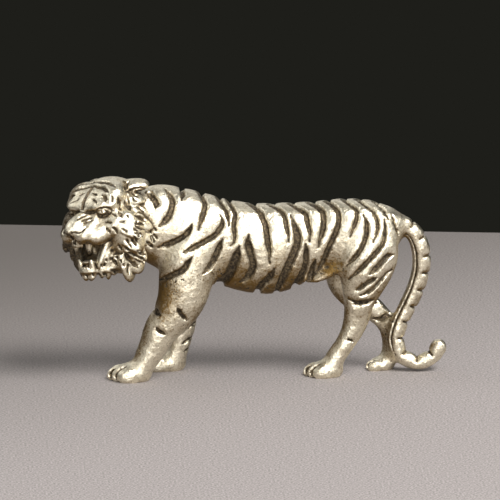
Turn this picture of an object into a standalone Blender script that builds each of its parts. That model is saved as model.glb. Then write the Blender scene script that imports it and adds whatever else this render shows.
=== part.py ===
"""Cast brass figurine of a striding tiger, its head turned to one side and its mouth open.

The real thing is one solid casting, so this is one object. It stands on its four soles at z = 0,
faces -X, and has its origin under the middle of its box. Big forms are lofted through sections,
small ones are ellipsoids and horns. They are fused by voxel remeshing, rubbed smooth, then carved.
Every size is in millimetres, until the finished mesh is brought to its length in metres.
"""

import math

import bmesh
import bpy
import numpy as np
from mathutils import Matrix, Vector

FIGURE_LENGTH = 0.0618  # from the whiskers to the turn of the tail, in metres, as cast

# Stance of the figure
FORE_STANCE = 3.85  # from the middle plane to each fore paw
HIND_STANCE = 2.5  # from the middle plane to each hind paw
BODY_FLATNESS = 2.25  # exponent of the body's section, 2 being an ellipse

# The body from neck to rump: x, top z, bottom z, half width, y of the middle
BODY_SECTIONS = (
    (-20.5, 29.0, 21.0, 3.0, -1.6),
    (-18.5, 30.1, 19.6, 4.2, -1.1),
    (-16.5, 30.8, 18.4, 4.7, -0.6),
    (-14.0, 31.0, 16.9, 5.0, -0.2),
    (-11.0, 30.4, 15.4, 5.3, 0.0),
    (-8.0, 29.7, 14.9, 5.3, 0.0),
    (-5.0, 28.8, 14.5, 5.1, 0.0),
    (-2.0, 28.1, 13.7, 5.1, 0.0),
    (1.0, 27.8, 13.1, 5.1, 0.0),
    (4.0, 27.8, 13.2, 5.0, 0.0),
    (7.0, 27.9, 14.1, 4.8, 0.0),
    (10.0, 28.0, 15.6, 4.5, 0.0),
    (13.0, 28.3, 16.8, 4.5, 0.0),
    (16.0, 28.4, 17.6, 4.7, 0.0),
    (19.0, 28.1, 18.0, 4.6, 0.0),
    (21.5, 27.3, 18.8, 4.0, 0.0),
    (23.3, 26.3, 20.6, 2.8, 0.0),
    (24.2, 25.5, 22.6, 1.5, 0.0),
)

# The fold of skin from the belly to the thigh: x, y, z, thickness
FLANK_FOLD = (
    (8.0, 3.2, 15.6, 0.45),
    (10.0, 3.5, 15.9, 0.6),
    (12.0, 3.7, 16.7, 0.65),
    (13.6, 3.9, 17.7, 0.6),
    (15.0, 4.0, 19.0, 0.5),
)

# Legs from top to ankle: x, share of the stance, z, half depth, half breadth
LEFT_FORELEG = (
    (-9.4, 0.70, 26.0, 2.6, 1.6),
    (-9.8, 0.84, 21.5, 4.6, 2.8),
    (-10.5, 0.92, 17.2, 4.5, 2.9),
    (-11.3, 0.98, 13.4, 4.0, 2.7),
    (-12.9, 1.00, 10.4, 3.35, 2.5),
    (-14.6, 1.00, 8.2, 2.85, 2.3),
    (-15.7, 1.00, 5.8, 2.45, 2.15),
    (-16.8, 1.00, 3.8, 2.1, 2.1),
    (-17.9, 1.00, 1.9, 1.7, 2.1),
)
RIGHT_FORELEG = (
    (-9.4, 0.70, 26.0, 2.6, 1.6),
    (-9.8, 0.84, 21.5, 4.5, 2.8),
    (-10.4, 0.92, 17.2, 4.2, 2.8),
    (-10.9, 0.98, 13.2, 3.4, 2.6),
    (-10.9, 1.00, 10.2, 2.7, 2.3),
    (-11.0, 1.00, 7.4, 2.35, 2.15),
    (-11.5, 1.00, 4.8, 2.1, 2.0),
    (-12.1, 1.00, 2.6, 2.0, 2.0),
    (-12.6, 1.00, 1.2, 1.6, 2.0),
)
LEFT_HIND_LEG = (
    (18.8, 0.85, 25.0, 3.2, 2.0),
    (18.7, 1.12, 21.0, 4.7, 2.9),
    (18.1, 1.22, 17.6, 4.5, 2.9),
    (17.5, 1.20, 14.6, 3.5, 2.5),
    (17.0, 1.12, 12.0, 2.5, 2.1),
    (16.7, 1.05, 9.8, 2.2, 1.75),
    (16.1, 1.00, 7.7, 1.9, 1.6),
    (14.8, 1.00, 5.3, 1.6, 1.6),
    (13.3, 1.00, 3.1, 1.6, 1.7),
    (12.5, 1.00, 1.6, 1.5, 1.7),
)
RIGHT_HIND_LEG = (
    (18.4, 0.85, 25.0, 3.2, 2.0),
    (17.6, 1.12, 21.0, 4.8, 2.8),
    (16.0, 1.20, 17.4, 4.4, 2.8),
    (15.5, 1.18, 14.4, 3.3, 2.5),
    (17.2, 1.10, 11.6, 2.5, 2.0),
    (19.8, 1.05, 9.6, 1.9, 1.75),
    (21.7, 1.00, 7.6, 1.65, 1.5),
    (22.3, 1.00, 5.3, 1.35, 1.4),
    (22.4, 1.00, 3.0, 1.4, 1.5),
    (22.1, 1.00, 1.4, 1.4, 1.6),
)

# Paws: x of the toe tips, x of the heel, half breadth, height of the instep
LEFT_FORE_PAW = (-23.3, -16.0, 2.45, 2.7)
RIGHT_FORE_PAW = (-17.4, -10.2, 2.35, 2.7)
LEFT_HIND_PAW = (8.1, 14.6, 2.1, 2.4)
RIGHT_HIND_PAW = (18.4, 23.2, 2.1, 1.9)
# How far each toe is set back, in paw lengths, from the outer toe to the inner one
TOE_SETBACKS = (0.24, 0.1, 0.0, 0.06)

# The tail from rump to tip: x, y, z, radius, and the rounded tip: centre, radius
TAIL_RUN = (
    (22.0, 0.0, 25.0, 1.6),
    (23.6, 0.0, 24.4, 1.5),
    (25.1, 0.1, 23.6, 1.45),
    (26.25, 0.2, 22.3, 1.5),
    (26.9, 0.3, 20.7, 1.57),
    (27.2, 0.4, 19.0, 1.6),
    (27.2, 0.5, 17.2, 1.57),
    (26.9, 0.6, 15.4, 1.53),
    (26.35, 0.7, 13.6, 1.52),
    (25.6, 0.8, 11.8, 1.5),
    (24.8, 0.9, 10.1, 1.48),
    (24.0, 0.9, 8.4, 1.48),
    (23.4, 0.9, 6.8, 1.48),
    (23.15, 0.9, 5.2, 1.46),
    (23.45, 0.8, 3.7, 1.4),
    (24.4, 0.7, 2.3, 1.35),
    (25.9, 0.6, 1.55, 1.32),
    (27.3, 0.5, 1.5, 1.34),
    (28.6, 0.5, 2.1, 1.34),
    (29.6, 0.5, 3.0, 1.38),
)
TAIL_TIP = ((30.0, 0.5, 3.85), (1.5, 1.42, 1.5))
# Where a short cut runs across the tail's back, by its place on the outline: x, z
TAIL_RINGS = (
    (25.9, 24.4),
    (27.2, 22.0),
    (28.2, 19.2),
    (28.0, 16.2),
    (26.8, 13.4),
    (25.6, 10.8),
    (24.6, 8.0),
    (24.2, 5.4),
    (24.6, 3.2),
    (26.6, 2.4),
    (28.6, 2.9),
)
TAIL_RING_REACH = 1.8

# The head hangs on the point between the eyes. Its own axes are ahead, to its left, and up
EYE_BRIDGE = (-27.0, -5.5, 28.0)
HEAD_TURN = 48.0  # degrees from straight ahead to the figure's left
HEAD_DROP = 8.0  # degrees of the nose below level
HEAD_ROLL = 8.0  # degrees the left side of the head is raised

# Ellipsoids of the head on its middle plane: centre, radii, degrees of nose-down tilt
SKULL_FORMS = (
    ((-6.1, 0.0, -1.2), (5.9, 5.6, 4.8), 0),
    ((-3.0, 0.0, 0.3), (3.5, 4.3, 2.3), 25),
    ((1.6, 0.0, -1.6), (3.35, 1.65, 1.45), 12),
    ((3.6, 0.0, -2.0), (0.95, 1.1, 0.85), 0),
    ((-5.0, 0.0, -5.5), (3.6, 5.2, 5.0), 0),
    ((1.2, 0.0, -9.55), (2.0, 1.9, 0.9), -12),
    ((-1.9, 0.0, -9.1), (3.0, 3.0, 1.3), -14),
)
# The same in pairs, each given at its left place
PAIRED_FORMS = (
    ((-1.6, 2.4, 0.75), (2.0, 1.9, 0.95), 15),
    ((-3.8, 3.0, 1.4), (2.7, 2.3, 1.75), 25),
    ((-2.6, 3.8, 0.5), (1.8, 1.35, 1.05), 10),
    ((2.2, 1.4, -3.2), (2.05, 1.6, 1.5), 5),
    ((0.0, 2.8, -3.7), (2.6, 1.6, 1.6), 18),
    ((-2.8, 4.3, -3.0), (2.7, 2.2, 2.6), 0),
    ((-3.6, 5.1, -5.0), (2.9, 2.8, 4.4), 0),
    ((-2.7, 3.6, -9.1), (2.2, 2.5, 2.1), 0),
    ((-1.1, 2.9, -7.3), (1.6, 0.9, 2.3), -35),
    ((-0.6, 2.0, -9.9), (1.7, 1.7, 0.9), -10),
    ((0.3, 1.7, -2.1), (1.9, 1.15, 1.1), 15),
)
MOUTH_CUTS = (
    ((0.9, 0.0, -6.6), (3.2, 2.2, 1.9), -12),
    ((3.3, 0.0, -6.5), (2.4, 2.4, 1.9), -5),
)
EYE_SOCKET_REACH = 1.1
EYE_SOCKET_DEPTH = 0.65
EYE_SOCKETS = ((-0.75, 2.9, -0.75), EYE_SOCKET_REACH, EYE_SOCKET_DEPTH)
EYEBALL = ((-1.0, 2.9, -0.55), (0.62, 0.78, 0.4))
TONGUE = ((0.4, 0.0, -8.35), (2.0, 1.1, 0.5), -14)
# Ears, laid back: root, tip, half thickness, breadth to thickness
EAR_HALF_THICKNESS = 0.85
EAR_BREADTH = 1.8
EARS = ((-7.0, 3.7, 2.0), (-10.3, 5.9, 1.3), EAR_HALF_THICKNESS, EAR_BREADTH)
# The edge of the cheek from the corner of the mouth down to the jaw, in the same terms
LIP_HALF_THICKNESS = 0.55
LIP_BREADTH = 1.3
LIP_FOLD = ((-1.0, 3.2, -5.2), (1.5, 2.1, -9.2), LIP_HALF_THICKNESS, LIP_BREADTH)
FANG_RADIUS = 0.6
UPPER_FANG = ((1.7, 1.4, -4.2), (2.0, 1.25, -6.6), FANG_RADIUS)  # root, tip, radius
LOWER_FANG = ((1.75, 1.2, -9.4), (1.95, 1.2, -7.4), 0.85 * FANG_RADIUS)

# Locks of fur round the face: root, tip, half thickness, breadth to thickness
PAIRED_LOCKS = (
    ((-5.6, 4.6, 0.2), (-8.2, 6.0, -0.6), 0.9, 1.7),
    ((-4.8, 5.4, -1.6), (-7.5, 6.9, -2.8), 0.9, 1.8),
    ((-4.4, 6.0, -3.2), (-6.9, 7.5, -5.0), 0.9, 1.8),
    ((-4.0, 6.2, -5.0), (-6.1, 7.7, -7.2), 0.9, 1.8),
    ((-3.4, 5.6, -6.6), (-4.2, 7.2, -9.6), 0.9, 1.8),
    ((-1.7, 3.0, -8.6), (-0.6, 3.1, -10.9), 0.9, 1.6),
    ((0.3, 1.8, -9.2), (1.0, 1.9, -10.9), 0.8, 1.3),
    ((1.5, 0.6, -9.4), (2.1, 0.5, -11.0), 0.8, 1.3),
    ((-2.2, 6.0, -3.4), (-3.0, 8.2, -5.4), 0.8, 1.8),
    ((-2.2, 6.0, -5.4), (-2.6, 7.9, -7.6), 0.8, 1.8),
    ((-2.6, 4.8, -1.8), (-3.8, 6.9, -3.4), 0.7, 1.6),
    ((-1.8, 3.9, -7.8), (-1.3, 4.4, -10.6), 0.8, 1.8),
    ((-0.6, 2.6, -8.8), (0.1, 2.4, -11.4), 0.7, 1.6),
)
LEFT_LOCKS = (
    ((-3.0, 4.6, -8.2), (-1.8, 5.1, -12.4), 1.05, 2.5),
    ((-3.3, 5.0, -7.6), (-3.7, 6.0, -11.5), 1.1, 2.3),
)
RIGHT_LOCKS = (
    ((-3.0, -4.6, -8.2), (-2.2, -5.4, -10.9), 1.0, 2.0),
    ((-2.4, -6.0, -4.4), (-1.6, -7.6, -7.6), 0.8, 1.7),
    ((-2.0, -5.2, -6.0), (-0.9, -5.9, -9.2), 0.8, 1.7),
)

# The stripes as seen from the side, the eye a little above: half width, then x and height
SIDE_VIEW_TILT = 12.0
SIDE_VIEW_RISE = 0.57
STRIPE_DEPTH = 0.55
STRIPES = (
    (0.45, (-17.0, 29.7), (-16.2, 29.3), (-15.6, 28.6), (-15.3, 27.9), (-15.6, 27.2)),
    (0.45, (-13.8, 30.1), (-13.0, 29.3), (-12.7, 28.3), (-12.9, 27.0), (-13.6, 25.5), (-14.9, 24.2)),
    (0.35, (-11.8, 33.2), (-11.0, 29.8), (-11.3, 28.5)),
    (0.40, (-10.6, 33.4), (-7.9, 29.2), (-7.5, 27.5), (-7.9, 26.0), (-8.4, 24.6), (-8.7, 23.5)),
    (0.33, (-9.7, 24.5), (-10.2, 23.4), (-11.2, 22.5), (-12.5, 21.8), (-14.0, 21.2), (-15.1, 20.8)),
    (0.35, (-5.1, 25.9), (-4.8, 24.6), (-5.9, 22.9), (-7.2, 22.0), (-9.0, 21.1), (-11.2, 20.0)),
    (0.30, (-7.4, 32.6), (-4.4, 27.2), (-4.0, 26.0), (-3.8, 24.9), (-3.9, 24.2)),
    (0.33, (-5.8, 32.0), (-2.9, 26.8), (-3.0, 24.5), (-2.9, 22.5), (-3.1, 21.5), (-3.6, 21.0)),
    (0.40, (-4.9, 22.0), (-5.3, 21.0), (-5.9, 19.6), (-6.5, 18.2), (-7.4, 17.0), (-8.0, 16.6)),
    (0.40, (-9.8, 19.2), (-10.4, 18.4), (-11.2, 17.3), (-12.4, 16.7), (-13.5, 16.2), (-15.2, 15.7)),
    (0.72, (-2.2, 20.8), (-2.6, 19.5), (-3.1, 18.0), (-3.6, 16.8), (-4.3, 15.7), (-6.3, 13.9)),
    (0.58, (-0.7, 22.7), (-0.8, 21.2), (0.0, 18.0), (-0.3, 16.8), (-1.0, 15.8), (-2.0, 15.2)),
    (0.45, (-3.6, 31.0), (0.9, 26.9), (1.6, 25.5), (2.1, 24.0), (2.3, 22.0), (2.6, 20.0), (2.6, 18.2)),
    (0.50, (3.4, 17.2), (3.0, 16.3), (2.2, 15.3), (1.4, 14.5), (0.2, 12.0)),
    (0.33, (-0.6, 30.1), (4.3, 26.8), (5.1, 25.5), (5.4, 24.0), (5.6, 22.5), (5.7, 21.5)),
    (0.62, (6.0, 25.8), (7.0, 23.0), (7.1, 21.3), (6.6, 19.8), (5.3, 16.8), (4.3, 14.4), (3.4, 12.4)),
    (0.36, (2.4, 30.4), (7.9, 26.6), (8.6, 25.4), (8.9, 24.0), (9.1, 22.7), (9.0, 21.5)),
    (0.45, (8.4, 21.1), (8.5, 19.8), (8.5, 18.3), (8.2, 17.0), (7.7, 15.9), (6.2, 13.3)),
    (0.42, (5.6, 30.6), (10.6, 27.0), (11.3, 25.3), (11.1, 23.2), (10.7, 21.9), (10.4, 20.6)),
    (0.38, (8.2, 31.2), (13.0, 27.2), (13.7, 25.3), (13.3, 23.3), (11.8, 20.2), (10.4, 18.8)),
    (0.35, (10.0, 18.6), (9.6, 17.2), (9.3, 16.2), (8.4, 14.0)),
    (0.28, (10.8, 31.4), (16.1, 27.1), (16.6, 26.0), (16.4, 24.7), (15.9, 23.4), (15.4, 22.2)),
    (0.35, (17.6, 25.7), (18.1, 24.5), (18.1, 23.0), (17.6, 21.3), (16.5, 19.4), (14.8, 17.6)),
    (0.27, (13.3, 31.0), (18.6, 27.0), (19.5, 25.8), (20.0, 24.4), (19.8, 23.0), (19.1, 21.4)),
    (0.20, (16.0, 30.6), (20.9, 26.9), (21.3, 26.0), (21.7, 25.1)),
    (0.30, (21.0, 25.1), (21.2, 23.8), (21.0, 21.8), (20.3, 20.5), (17.6, 17.6), (15.2, 15.4)),
    (0.15, (22.4, 25.5), (22.9, 24.0), (23.4, 22.5)),
    (0.42, (22.4, 19.3), (21.6, 19.1), (21.0, 18.6), (19.8, 17.3), (18.5, 16.2)),
    (0.20, (22.2, 16.9), (21.2, 16.0), (20.2, 14.9), (19.2, 13.9), (18.2, 13.2), (17.0, 12.8)),
    (0.28, (19.7, 15.6), (18.2, 14.8), (17.0, 14.0), (16.3, 13.7)),
    (0.22, (19.3, 12.1), (18.4, 11.6), (17.4, 11.5), (15.9, 11.5)),
)
# Short cuts on the legs in space: half width, then two ends
LEG_CUTS = (
    (0.30, (-12.4, -6.3, 12.1), (-10.8, -6.0, 10.2)),
    (0.28, (-15.7, -6.0, 8.9), (-14.1, -6.1, 7.9)),
    (0.22, (15.0, -4.1, 6.0), (16.3, -3.9, 5.6)),
    (0.30, (-10.0, 2.2, 7.4), (-8.6, 3.6, 7.6)),
    (0.30, (-10.8, 2.1, 4.4), (-9.6, 3.6, 4.9)),
    (0.20, (18.8, 1.0, 11.4), (20.9, 1.6, 11.3)),
    (0.40, (19.6, 1.0, 8.2), (22.3, 1.6, 10.0)),
)

# How finely the clay is worked
ROUGH_VOXEL = 0.5
HEAD_VOXEL = 0.34
FINE_VOXEL = 0.3
TRIANGLES = 11400


def through(stations, spacing):
    """A smooth Catmull-Rom run through the rows of a table, in steps of about this spacing."""
    rows = np.array(stations, float)
    padded = np.vstack([2 * rows[0] - rows[1], rows, 2 * rows[-1] - rows[-2]])
    run = []
    for a, b, c, d in zip(padded, padded[1:], padded[2:], padded[3:]):
        steps = max(1, round(np.linalg.norm(c[:3] - b[:3]) / spacing))
        for t in np.arange(steps) / steps:
            bend = (2 * a - 5 * b + 4 * c - d) * t**2 + (3 * b - a - 3 * c + d) * t**3
            run.append(0.5 * (2 * b + (c - a) * t + bend))
    return np.array([*run, rows[-1]])


def add_loft(clay, rings):
    """A closed body skinned through rings of points, its ends closed by flat caps."""
    made = [[clay.verts.new(point) for point in ring] for ring in rings]
    for near, far in zip(made, made[1:]):
        for i in range(len(near)):
            j = (i + 1) % len(near)
            clay.faces.new((near[i], near[j], far[j], far[i]))
    clay.faces.new(made[0][::-1])
    clay.faces.new(made[-1])


def add_tube(clay, path, depths, breadths, side=(0, 1, 0), corners=24):
    """A limb along a path. Breadth is measured along the side direction, depth across it."""
    tangents = np.gradient(path, axis=0)
    angles = np.arange(corners) * 2 * math.pi / corners
    rings = []
    for point, tangent, depth, breadth in zip(path, tangents, depths, breadths):
        ahead = Vector(tangent).normalized()
        across = ahead.cross(Vector(side)).normalized()
        beside = across.cross(ahead)
        centre = Vector(point)
        rings.append(
            [centre + across * depth * math.cos(a) + beside * breadth * math.sin(a) for a in angles]
        )
    add_loft(clay, rings)


def add_ellipsoid(clay, centre, radii, nose_down=0.0):
    place = Matrix.LocRotScale(
        Vector(centre), Matrix.Rotation(math.radians(nose_down), 3, "Y"), Vector(radii)
    )
    bmesh.ops.create_icosphere(clay, subdivisions=3, radius=1.0, matrix=place)


def add_lock(clay, root, tip, radius, breadth=1.0, sharpness=1.6):
    """A tapering form, as a fang, an ear or a lock of fur. Its breadth lies across the way out."""
    root, tip = np.array(root), np.array(tip)
    shares = np.linspace(0, 1, 8)[:, None]
    path = root + (tip - root) * shares
    fullness = radius * np.sqrt(1.02 - shares[:, 0] ** sharpness)
    outward = Vector((0, root[1], root[2] + 5)) if abs(root[1]) > 0.7 else Vector((1, 0, 0))
    side = Vector(tip - root).cross(outward)
    add_tube(clay, path, fullness, fullness * breadth, side=side, corners=12)


def mesh_of(clay, name):
    bmesh.ops.recalc_face_normals(clay, faces=clay.faces)
    mesh = bpy.data.meshes.new(name)
    clay.to_mesh(mesh)
    clay.free()
    return mesh


def show(mesh, name):
    form = bpy.data.objects.new(name, mesh)
    bpy.context.scene.collection.objects.link(form)
    return form


def settled(form):
    """The form's mesh with its modifiers applied. The form itself goes."""
    bpy.context.view_layer.update()
    graph = bpy.context.evaluated_depsgraph_get()
    mesh = bpy.data.meshes.new_from_object(form.evaluated_get(graph))
    bpy.data.objects.remove(form)
    return mesh


def fused(clay, name, voxel, rubs, rounded=0):
    """One skin round everything in the clay, rubbed smooth, then rounded off."""
    form = show(mesh_of(clay, name), name)
    fuse = form.modifiers.new("Fuse", "REMESH")
    fuse.mode = "VOXEL"
    fuse.voxel_size = voxel
    rub = form.modifiers.new("Rub", "SMOOTH")
    rub.factor = 0.5
    rub.iterations = rubs
    if rounded:
        rounding = form.modifiers.new("Round", "SUBSURF")
        rounding.levels = rounding.render_levels = rounded
    return settled(form)


def model_body(clay):
    angles = np.arange(40) * 2 * math.pi / 40
    rings = []
    for x, top, bottom, half_width, middle_y in through(BODY_SECTIONS, 1.0):
        cosines, sines = np.cos(angles), np.sin(angles)
        power = 2 / BODY_FLATNESS
        y = middle_y + half_width * np.sign(cosines) * np.abs(cosines) ** power
        z = (top + bottom) / 2 + (top - bottom) / 2 * np.sign(sines) * np.abs(sines) ** power
        rings.append([(x, y_i, z_i) for y_i, z_i in zip(y, z)])
    add_loft(clay, rings)


def model_flank_folds(clay):
    run = through(FLANK_FOLD, 0.5)
    for side in (-1, 1):
        add_tube(clay, run[:, :3] * (1, side, 1), run[:, 3], run[:, 3], corners=12)


def model_leg(clay, stations, stance):
    run = through(stations, 0.8)
    path = np.stack([run[:, 0], run[:, 1] * stance, run[:, 2]], axis=1)
    add_tube(clay, path, run[:, 3], run[:, 4])


def model_paw(clay, paw, stance):
    toe_x, heel_x, half_breadth, instep = paw
    length = heel_x - toe_x
    add_ellipsoid(
        clay,
        (toe_x + 0.55 * length, stance, instep * 0.38),
        (0.46 * length, half_breadth, instep * 0.72),
    )


def model_toes(clay, paw, stance):
    toe_x, heel_x, half_breadth, instep = paw
    length = heel_x - toe_x
    pitch = math.copysign(2 * half_breadth / len(TOE_SETBACKS), stance)
    for order, setback in enumerate(TOE_SETBACKS):
        offset = ((len(TOE_SETBACKS) - 1) / 2 - order) * pitch
        add_ellipsoid(
            clay,
            (toe_x + (0.24 + setback) * length, stance + offset, instep * 0.33),
            (0.24 * length, abs(pitch) * 0.62, instep * 0.5),
            -8,
        )


def model_tail(clay):
    run = through(TAIL_RUN, 0.6)
    add_tube(clay, run[:, :3], run[:, 3], run[:, 3])
    add_ellipsoid(clay, *TAIL_TIP)


def pair(place):
    """A place at the head's left and its twin at the right."""
    x, y, z = place
    return (x, y, z), (x, -y, z)


def model_skull():
    clay = bmesh.new()
    for centre, radii, tilt in SKULL_FORMS:
        add_ellipsoid(clay, centre, radii, tilt)
    for centre, radii, tilt in PAIRED_FORMS:
        for place in pair(centre):
            add_ellipsoid(clay, place, radii, tilt)
    return fused(clay, "skull", HEAD_VOXEL, 4)


def cut_mouth(mesh):
    cutter_clay = bmesh.new()
    for centre, radii, tilt in MOUTH_CUTS:
        add_ellipsoid(cutter_clay, centre, radii, tilt)
    cutter = show(fused(cutter_clay, "mouth_cutter", HEAD_VOXEL, 1), "mouth_cutter")
    skull = show(mesh, "skull")
    cut = skull.modifiers.new("Mouth", "BOOLEAN")
    cut.operation = "DIFFERENCE"
    cut.object = cutter
    opened = settled(skull)
    bpy.data.objects.remove(cutter)
    return opened


def model_face(clay):
    """What is set on the skull after it is rubbed: eyes, ears, tongue, fangs and locks of fur."""
    add_ellipsoid(clay, *TONGUE)
    for place in pair(EYEBALL[0]):
        add_ellipsoid(clay, place, EYEBALL[1])
    for root, tip, radius in (UPPER_FANG, LOWER_FANG):
        for ends in zip(pair(root), pair(tip)):
            add_lock(clay, *ends, radius)
    for root, tip, radius, breadth in (EARS, LIP_FOLD):
        for ends in zip(pair(root), pair(tip)):
            add_lock(clay, *ends, radius, breadth, sharpness=3.5)
    for root, tip, radius, breadth in PAIRED_LOCKS:
        for ends in zip(pair(root), pair(tip)):
            add_lock(clay, *ends, radius, breadth)
    for lock in LEFT_LOCKS + RIGHT_LOCKS:
        add_lock(clay, *lock)


def dent(mesh, place, reach, depth):
    """Pushes the skin in round a place, deepest at its middle."""
    for vertex in mesh.vertices:
        share = 1 - (vertex.co - Vector(place)).length / reach
        if share > 0:
            vertex.co -= vertex.normal * depth * share * share * (3 - 2 * share)


def head_place():
    turn = Matrix.Rotation(math.radians(180 + HEAD_TURN), 4, "Z")
    drop = Matrix.Rotation(math.radians(HEAD_DROP), 4, "Y")
    roll = Matrix.Rotation(math.radians(HEAD_ROLL), 4, "X")
    return Matrix.Translation(EYE_BRIDGE) @ turn @ drop @ roll


def model_head():
    mesh = cut_mouth(model_skull())
    place, reach, depth = EYE_SOCKETS
    for socket in pair(place):
        dent(mesh, socket, reach, depth)
    clay = bmesh.new()
    clay.from_mesh(mesh)
    model_face(clay)
    bmesh.ops.transform(clay, matrix=head_place(), verts=clay.verts)
    return mesh_of(clay, "head")


def model_figure():
    rough = bmesh.new()
    model_body(rough)
    model_flank_folds(rough)
    model_tail(rough)
    for stations, paw, stance in (
        (LEFT_FORELEG, LEFT_FORE_PAW, -FORE_STANCE),
        (RIGHT_FORELEG, RIGHT_FORE_PAW, FORE_STANCE),
        (LEFT_HIND_LEG, LEFT_HIND_PAW, -HIND_STANCE),
        (RIGHT_HIND_LEG, RIGHT_HIND_PAW, HIND_STANCE),
    ):
        model_leg(rough, stations, stance)
        model_paw(rough, paw, stance)
    trunk = fused(rough, "trunk", ROUGH_VOXEL, 5, rounded=1)
    clay = bmesh.new()
    clay.from_mesh(trunk)
    clay.from_mesh(model_head())
    for paw, stance in (
        (LEFT_FORE_PAW, -FORE_STANCE),
        (RIGHT_FORE_PAW, FORE_STANCE),
        (LEFT_HIND_PAW, -HIND_STANCE),
        (RIGHT_HIND_PAW, HIND_STANCE),
    ):
        model_toes(clay, paw, stance)
    return fused(clay, "figure", FINE_VOXEL, 1)


def distance_to_line(points, line):
    """Each point's distance to a run of straight stretches, and how far along the run that is."""
    line = np.array(line, float)
    best = np.full(len(points), np.inf)
    along = np.zeros(len(points))
    lengths = np.linalg.norm(np.diff(line, axis=0), axis=1)
    before = 0.0
    for start, end, length in zip(line, line[1:], lengths):
        share = np.clip((points - start) @ (end - start) / length**2, 0, 1)
        distance = np.linalg.norm(points - start - share[:, None] * (end - start), axis=1)
        nearer = distance < best
        best[nearer] = distance[nearer]
        along[nearer] = (before + share * length)[nearer] / lengths.sum()
        before += length
    return best, along


def eased(value):
    value = np.clip(value, 0, 1)
    return value * value * (3 - 2 * value)


def groove(points, line, half_width):
    """How deep a gouge runs at each point, from 0 to 1. It narrows towards both its ends."""
    distance, along = distance_to_line(points, line)
    narrowing = 0.35 + 0.65 * eased(np.minimum(along, 1 - along) * 4)
    return eased(1.6 * (1 - distance / (half_width * narrowing)) + 0.15)


def carve(mesh):
    """The stripes, the rings of the tail and the short cuts on the legs."""
    count = len(mesh.vertices)
    points = np.empty(count * 3)
    normals = np.empty(count * 3, np.float32)
    mesh.vertices.foreach_get("co", points)
    mesh.vertex_normals.foreach_get("vector", normals)
    points, normals = points.reshape(-1, 3), normals.reshape(-1, 3).astype(float)
    tilt = math.radians(SIDE_VIEW_TILT)
    height = (
        points[:, 2] * math.cos(tilt) - np.abs(points[:, 1]) * math.sin(tilt) + SIDE_VIEW_RISE
    )
    seen = np.stack([points[:, 0], height], axis=1)
    outward = eased((normals[:, 1] * np.sign(points[:, 1]) + 0.25) * 4)
    depth = np.zeros(count)
    for half_width, *line in STRIPES:
        depth = np.maximum(depth, groove(seen, line, half_width) * outward)
    for half_width, *line in LEG_CUTS:
        depth = np.maximum(depth, groove(points, line, half_width * 1.6) * 0.9)
    for x, z in TAIL_RINGS:
        depth = np.maximum(depth, tail_ring(points, x, z))
    points -= normals * (depth * STRIPE_DEPTH)[:, None]
    mesh.vertices.foreach_set("co", points.ravel())
    mesh.update()


def tail_ring(points, x, z):
    """A cut across the tail's back at the place on its outline, fading out towards its belly."""
    run = through(TAIL_RUN, 0.3)[:, :3]
    nearest = np.argmin((run[:, 0] - x) ** 2 + (run[:, 2] - z) ** 2)
    axis = np.array(Vector(run[nearest + 1] - run[nearest - 1]).normalized())
    back = np.array((-axis[2], 0, axis[0]))
    offset = points - run[nearest]
    near = np.linalg.norm(offset, axis=1) < TAIL_RING_REACH
    cut = eased(1.5 * (1 - np.abs(offset @ axis) / 0.3))
    return 0.7 * cut * near * eased(offset @ back + 0.6)


def largest_shell(mesh):
    """Only the biggest closed skin, without stray bubbles."""
    clay = bmesh.new()
    clay.from_mesh(mesh)
    left, shells = set(clay.verts), []
    while left:
        front = [left.pop()]
        shell = set(front)
        while front:
            linked = {e.other_vert(v) for v in front for e in v.link_edges} - shell
            shell |= linked
            front = list(linked)
        left -= shell
        shells.append(shell)
    biggest = max(shells, key=len)
    bmesh.ops.delete(clay, geom=[v for v in clay.verts if v not in biggest], context="VERTS")
    clay.to_mesh(mesh)
    clay.free()


def thinned(mesh):
    """Fewer triangles, kept where the skin bends most."""
    mesh.calc_loop_triangles()
    form = show(mesh, "thinned")
    thin = form.modifiers.new("Thin", "DECIMATE")
    thin.ratio = TRIANGLES / len(mesh.loop_triangles)
    thin.use_collapse_triangulate = True
    return settled(form)


def ground_flat(mesh):
    """Grinds the soles off level with the floor and brings the figure to its own frame."""
    clay = bmesh.new()
    clay.from_mesh(mesh)
    geometry = clay.verts[:] + clay.edges[:] + clay.faces[:]
    cut = bmesh.ops.bisect_plane(
        clay, geom=geometry, plane_co=(0, 0, 0), plane_no=(0, 0, -1), clear_outer=True
    )
    rim = [e for e in cut["geom_cut"] if isinstance(e, bmesh.types.BMEdge)]
    bmesh.ops.holes_fill(clay, edges=rim, sides=0)
    low = [min(v.co[k] for v in clay.verts) for k in range(3)]
    high = [max(v.co[k] for v in clay.verts) for k in range(3)]
    middle = Vector((-(low[0] + high[0]) / 2, -(low[1] + high[1]) / 2, 0))
    bmesh.ops.translate(clay, vec=middle, verts=clay.verts)
    bmesh.ops.scale(clay, vec=[FIGURE_LENGTH / (high[0] - low[0])] * 3, verts=clay.verts)
    clay.to_mesh(mesh)
    clay.free()


def antique_brass():
    material = bpy.data.materials.new("antique_brass")
    material.use_nodes = True
    shader = material.node_tree.nodes["Principled BSDF"]
    shader.inputs["Base Color"].default_value = (0.72, 0.58, 0.34, 1)
    shader.inputs["Metallic"].default_value = 1.0
    shader.inputs["Roughness"].default_value = 0.3
    return material


def main():
    for obj in list(bpy.data.objects):
        bpy.data.objects.remove(obj)
    mesh = model_figure()
    largest_shell(mesh)
    carve(mesh)
    mesh = thinned(mesh)
    ground_flat(mesh)
    mesh.materials.clear()
    mesh.materials.append(antique_brass())
    mesh.shade_smooth()
    mesh.set_sharp_from_angle(angle=math.radians(50))
    show(mesh, "tiger")


main()
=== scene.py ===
"""A small antiqued brass tiger, striding, with its head turned to one side and its mouth open."""

import math

import bmesh
import bpy
import numpy as np
from mathutils import Matrix, Vector


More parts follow.
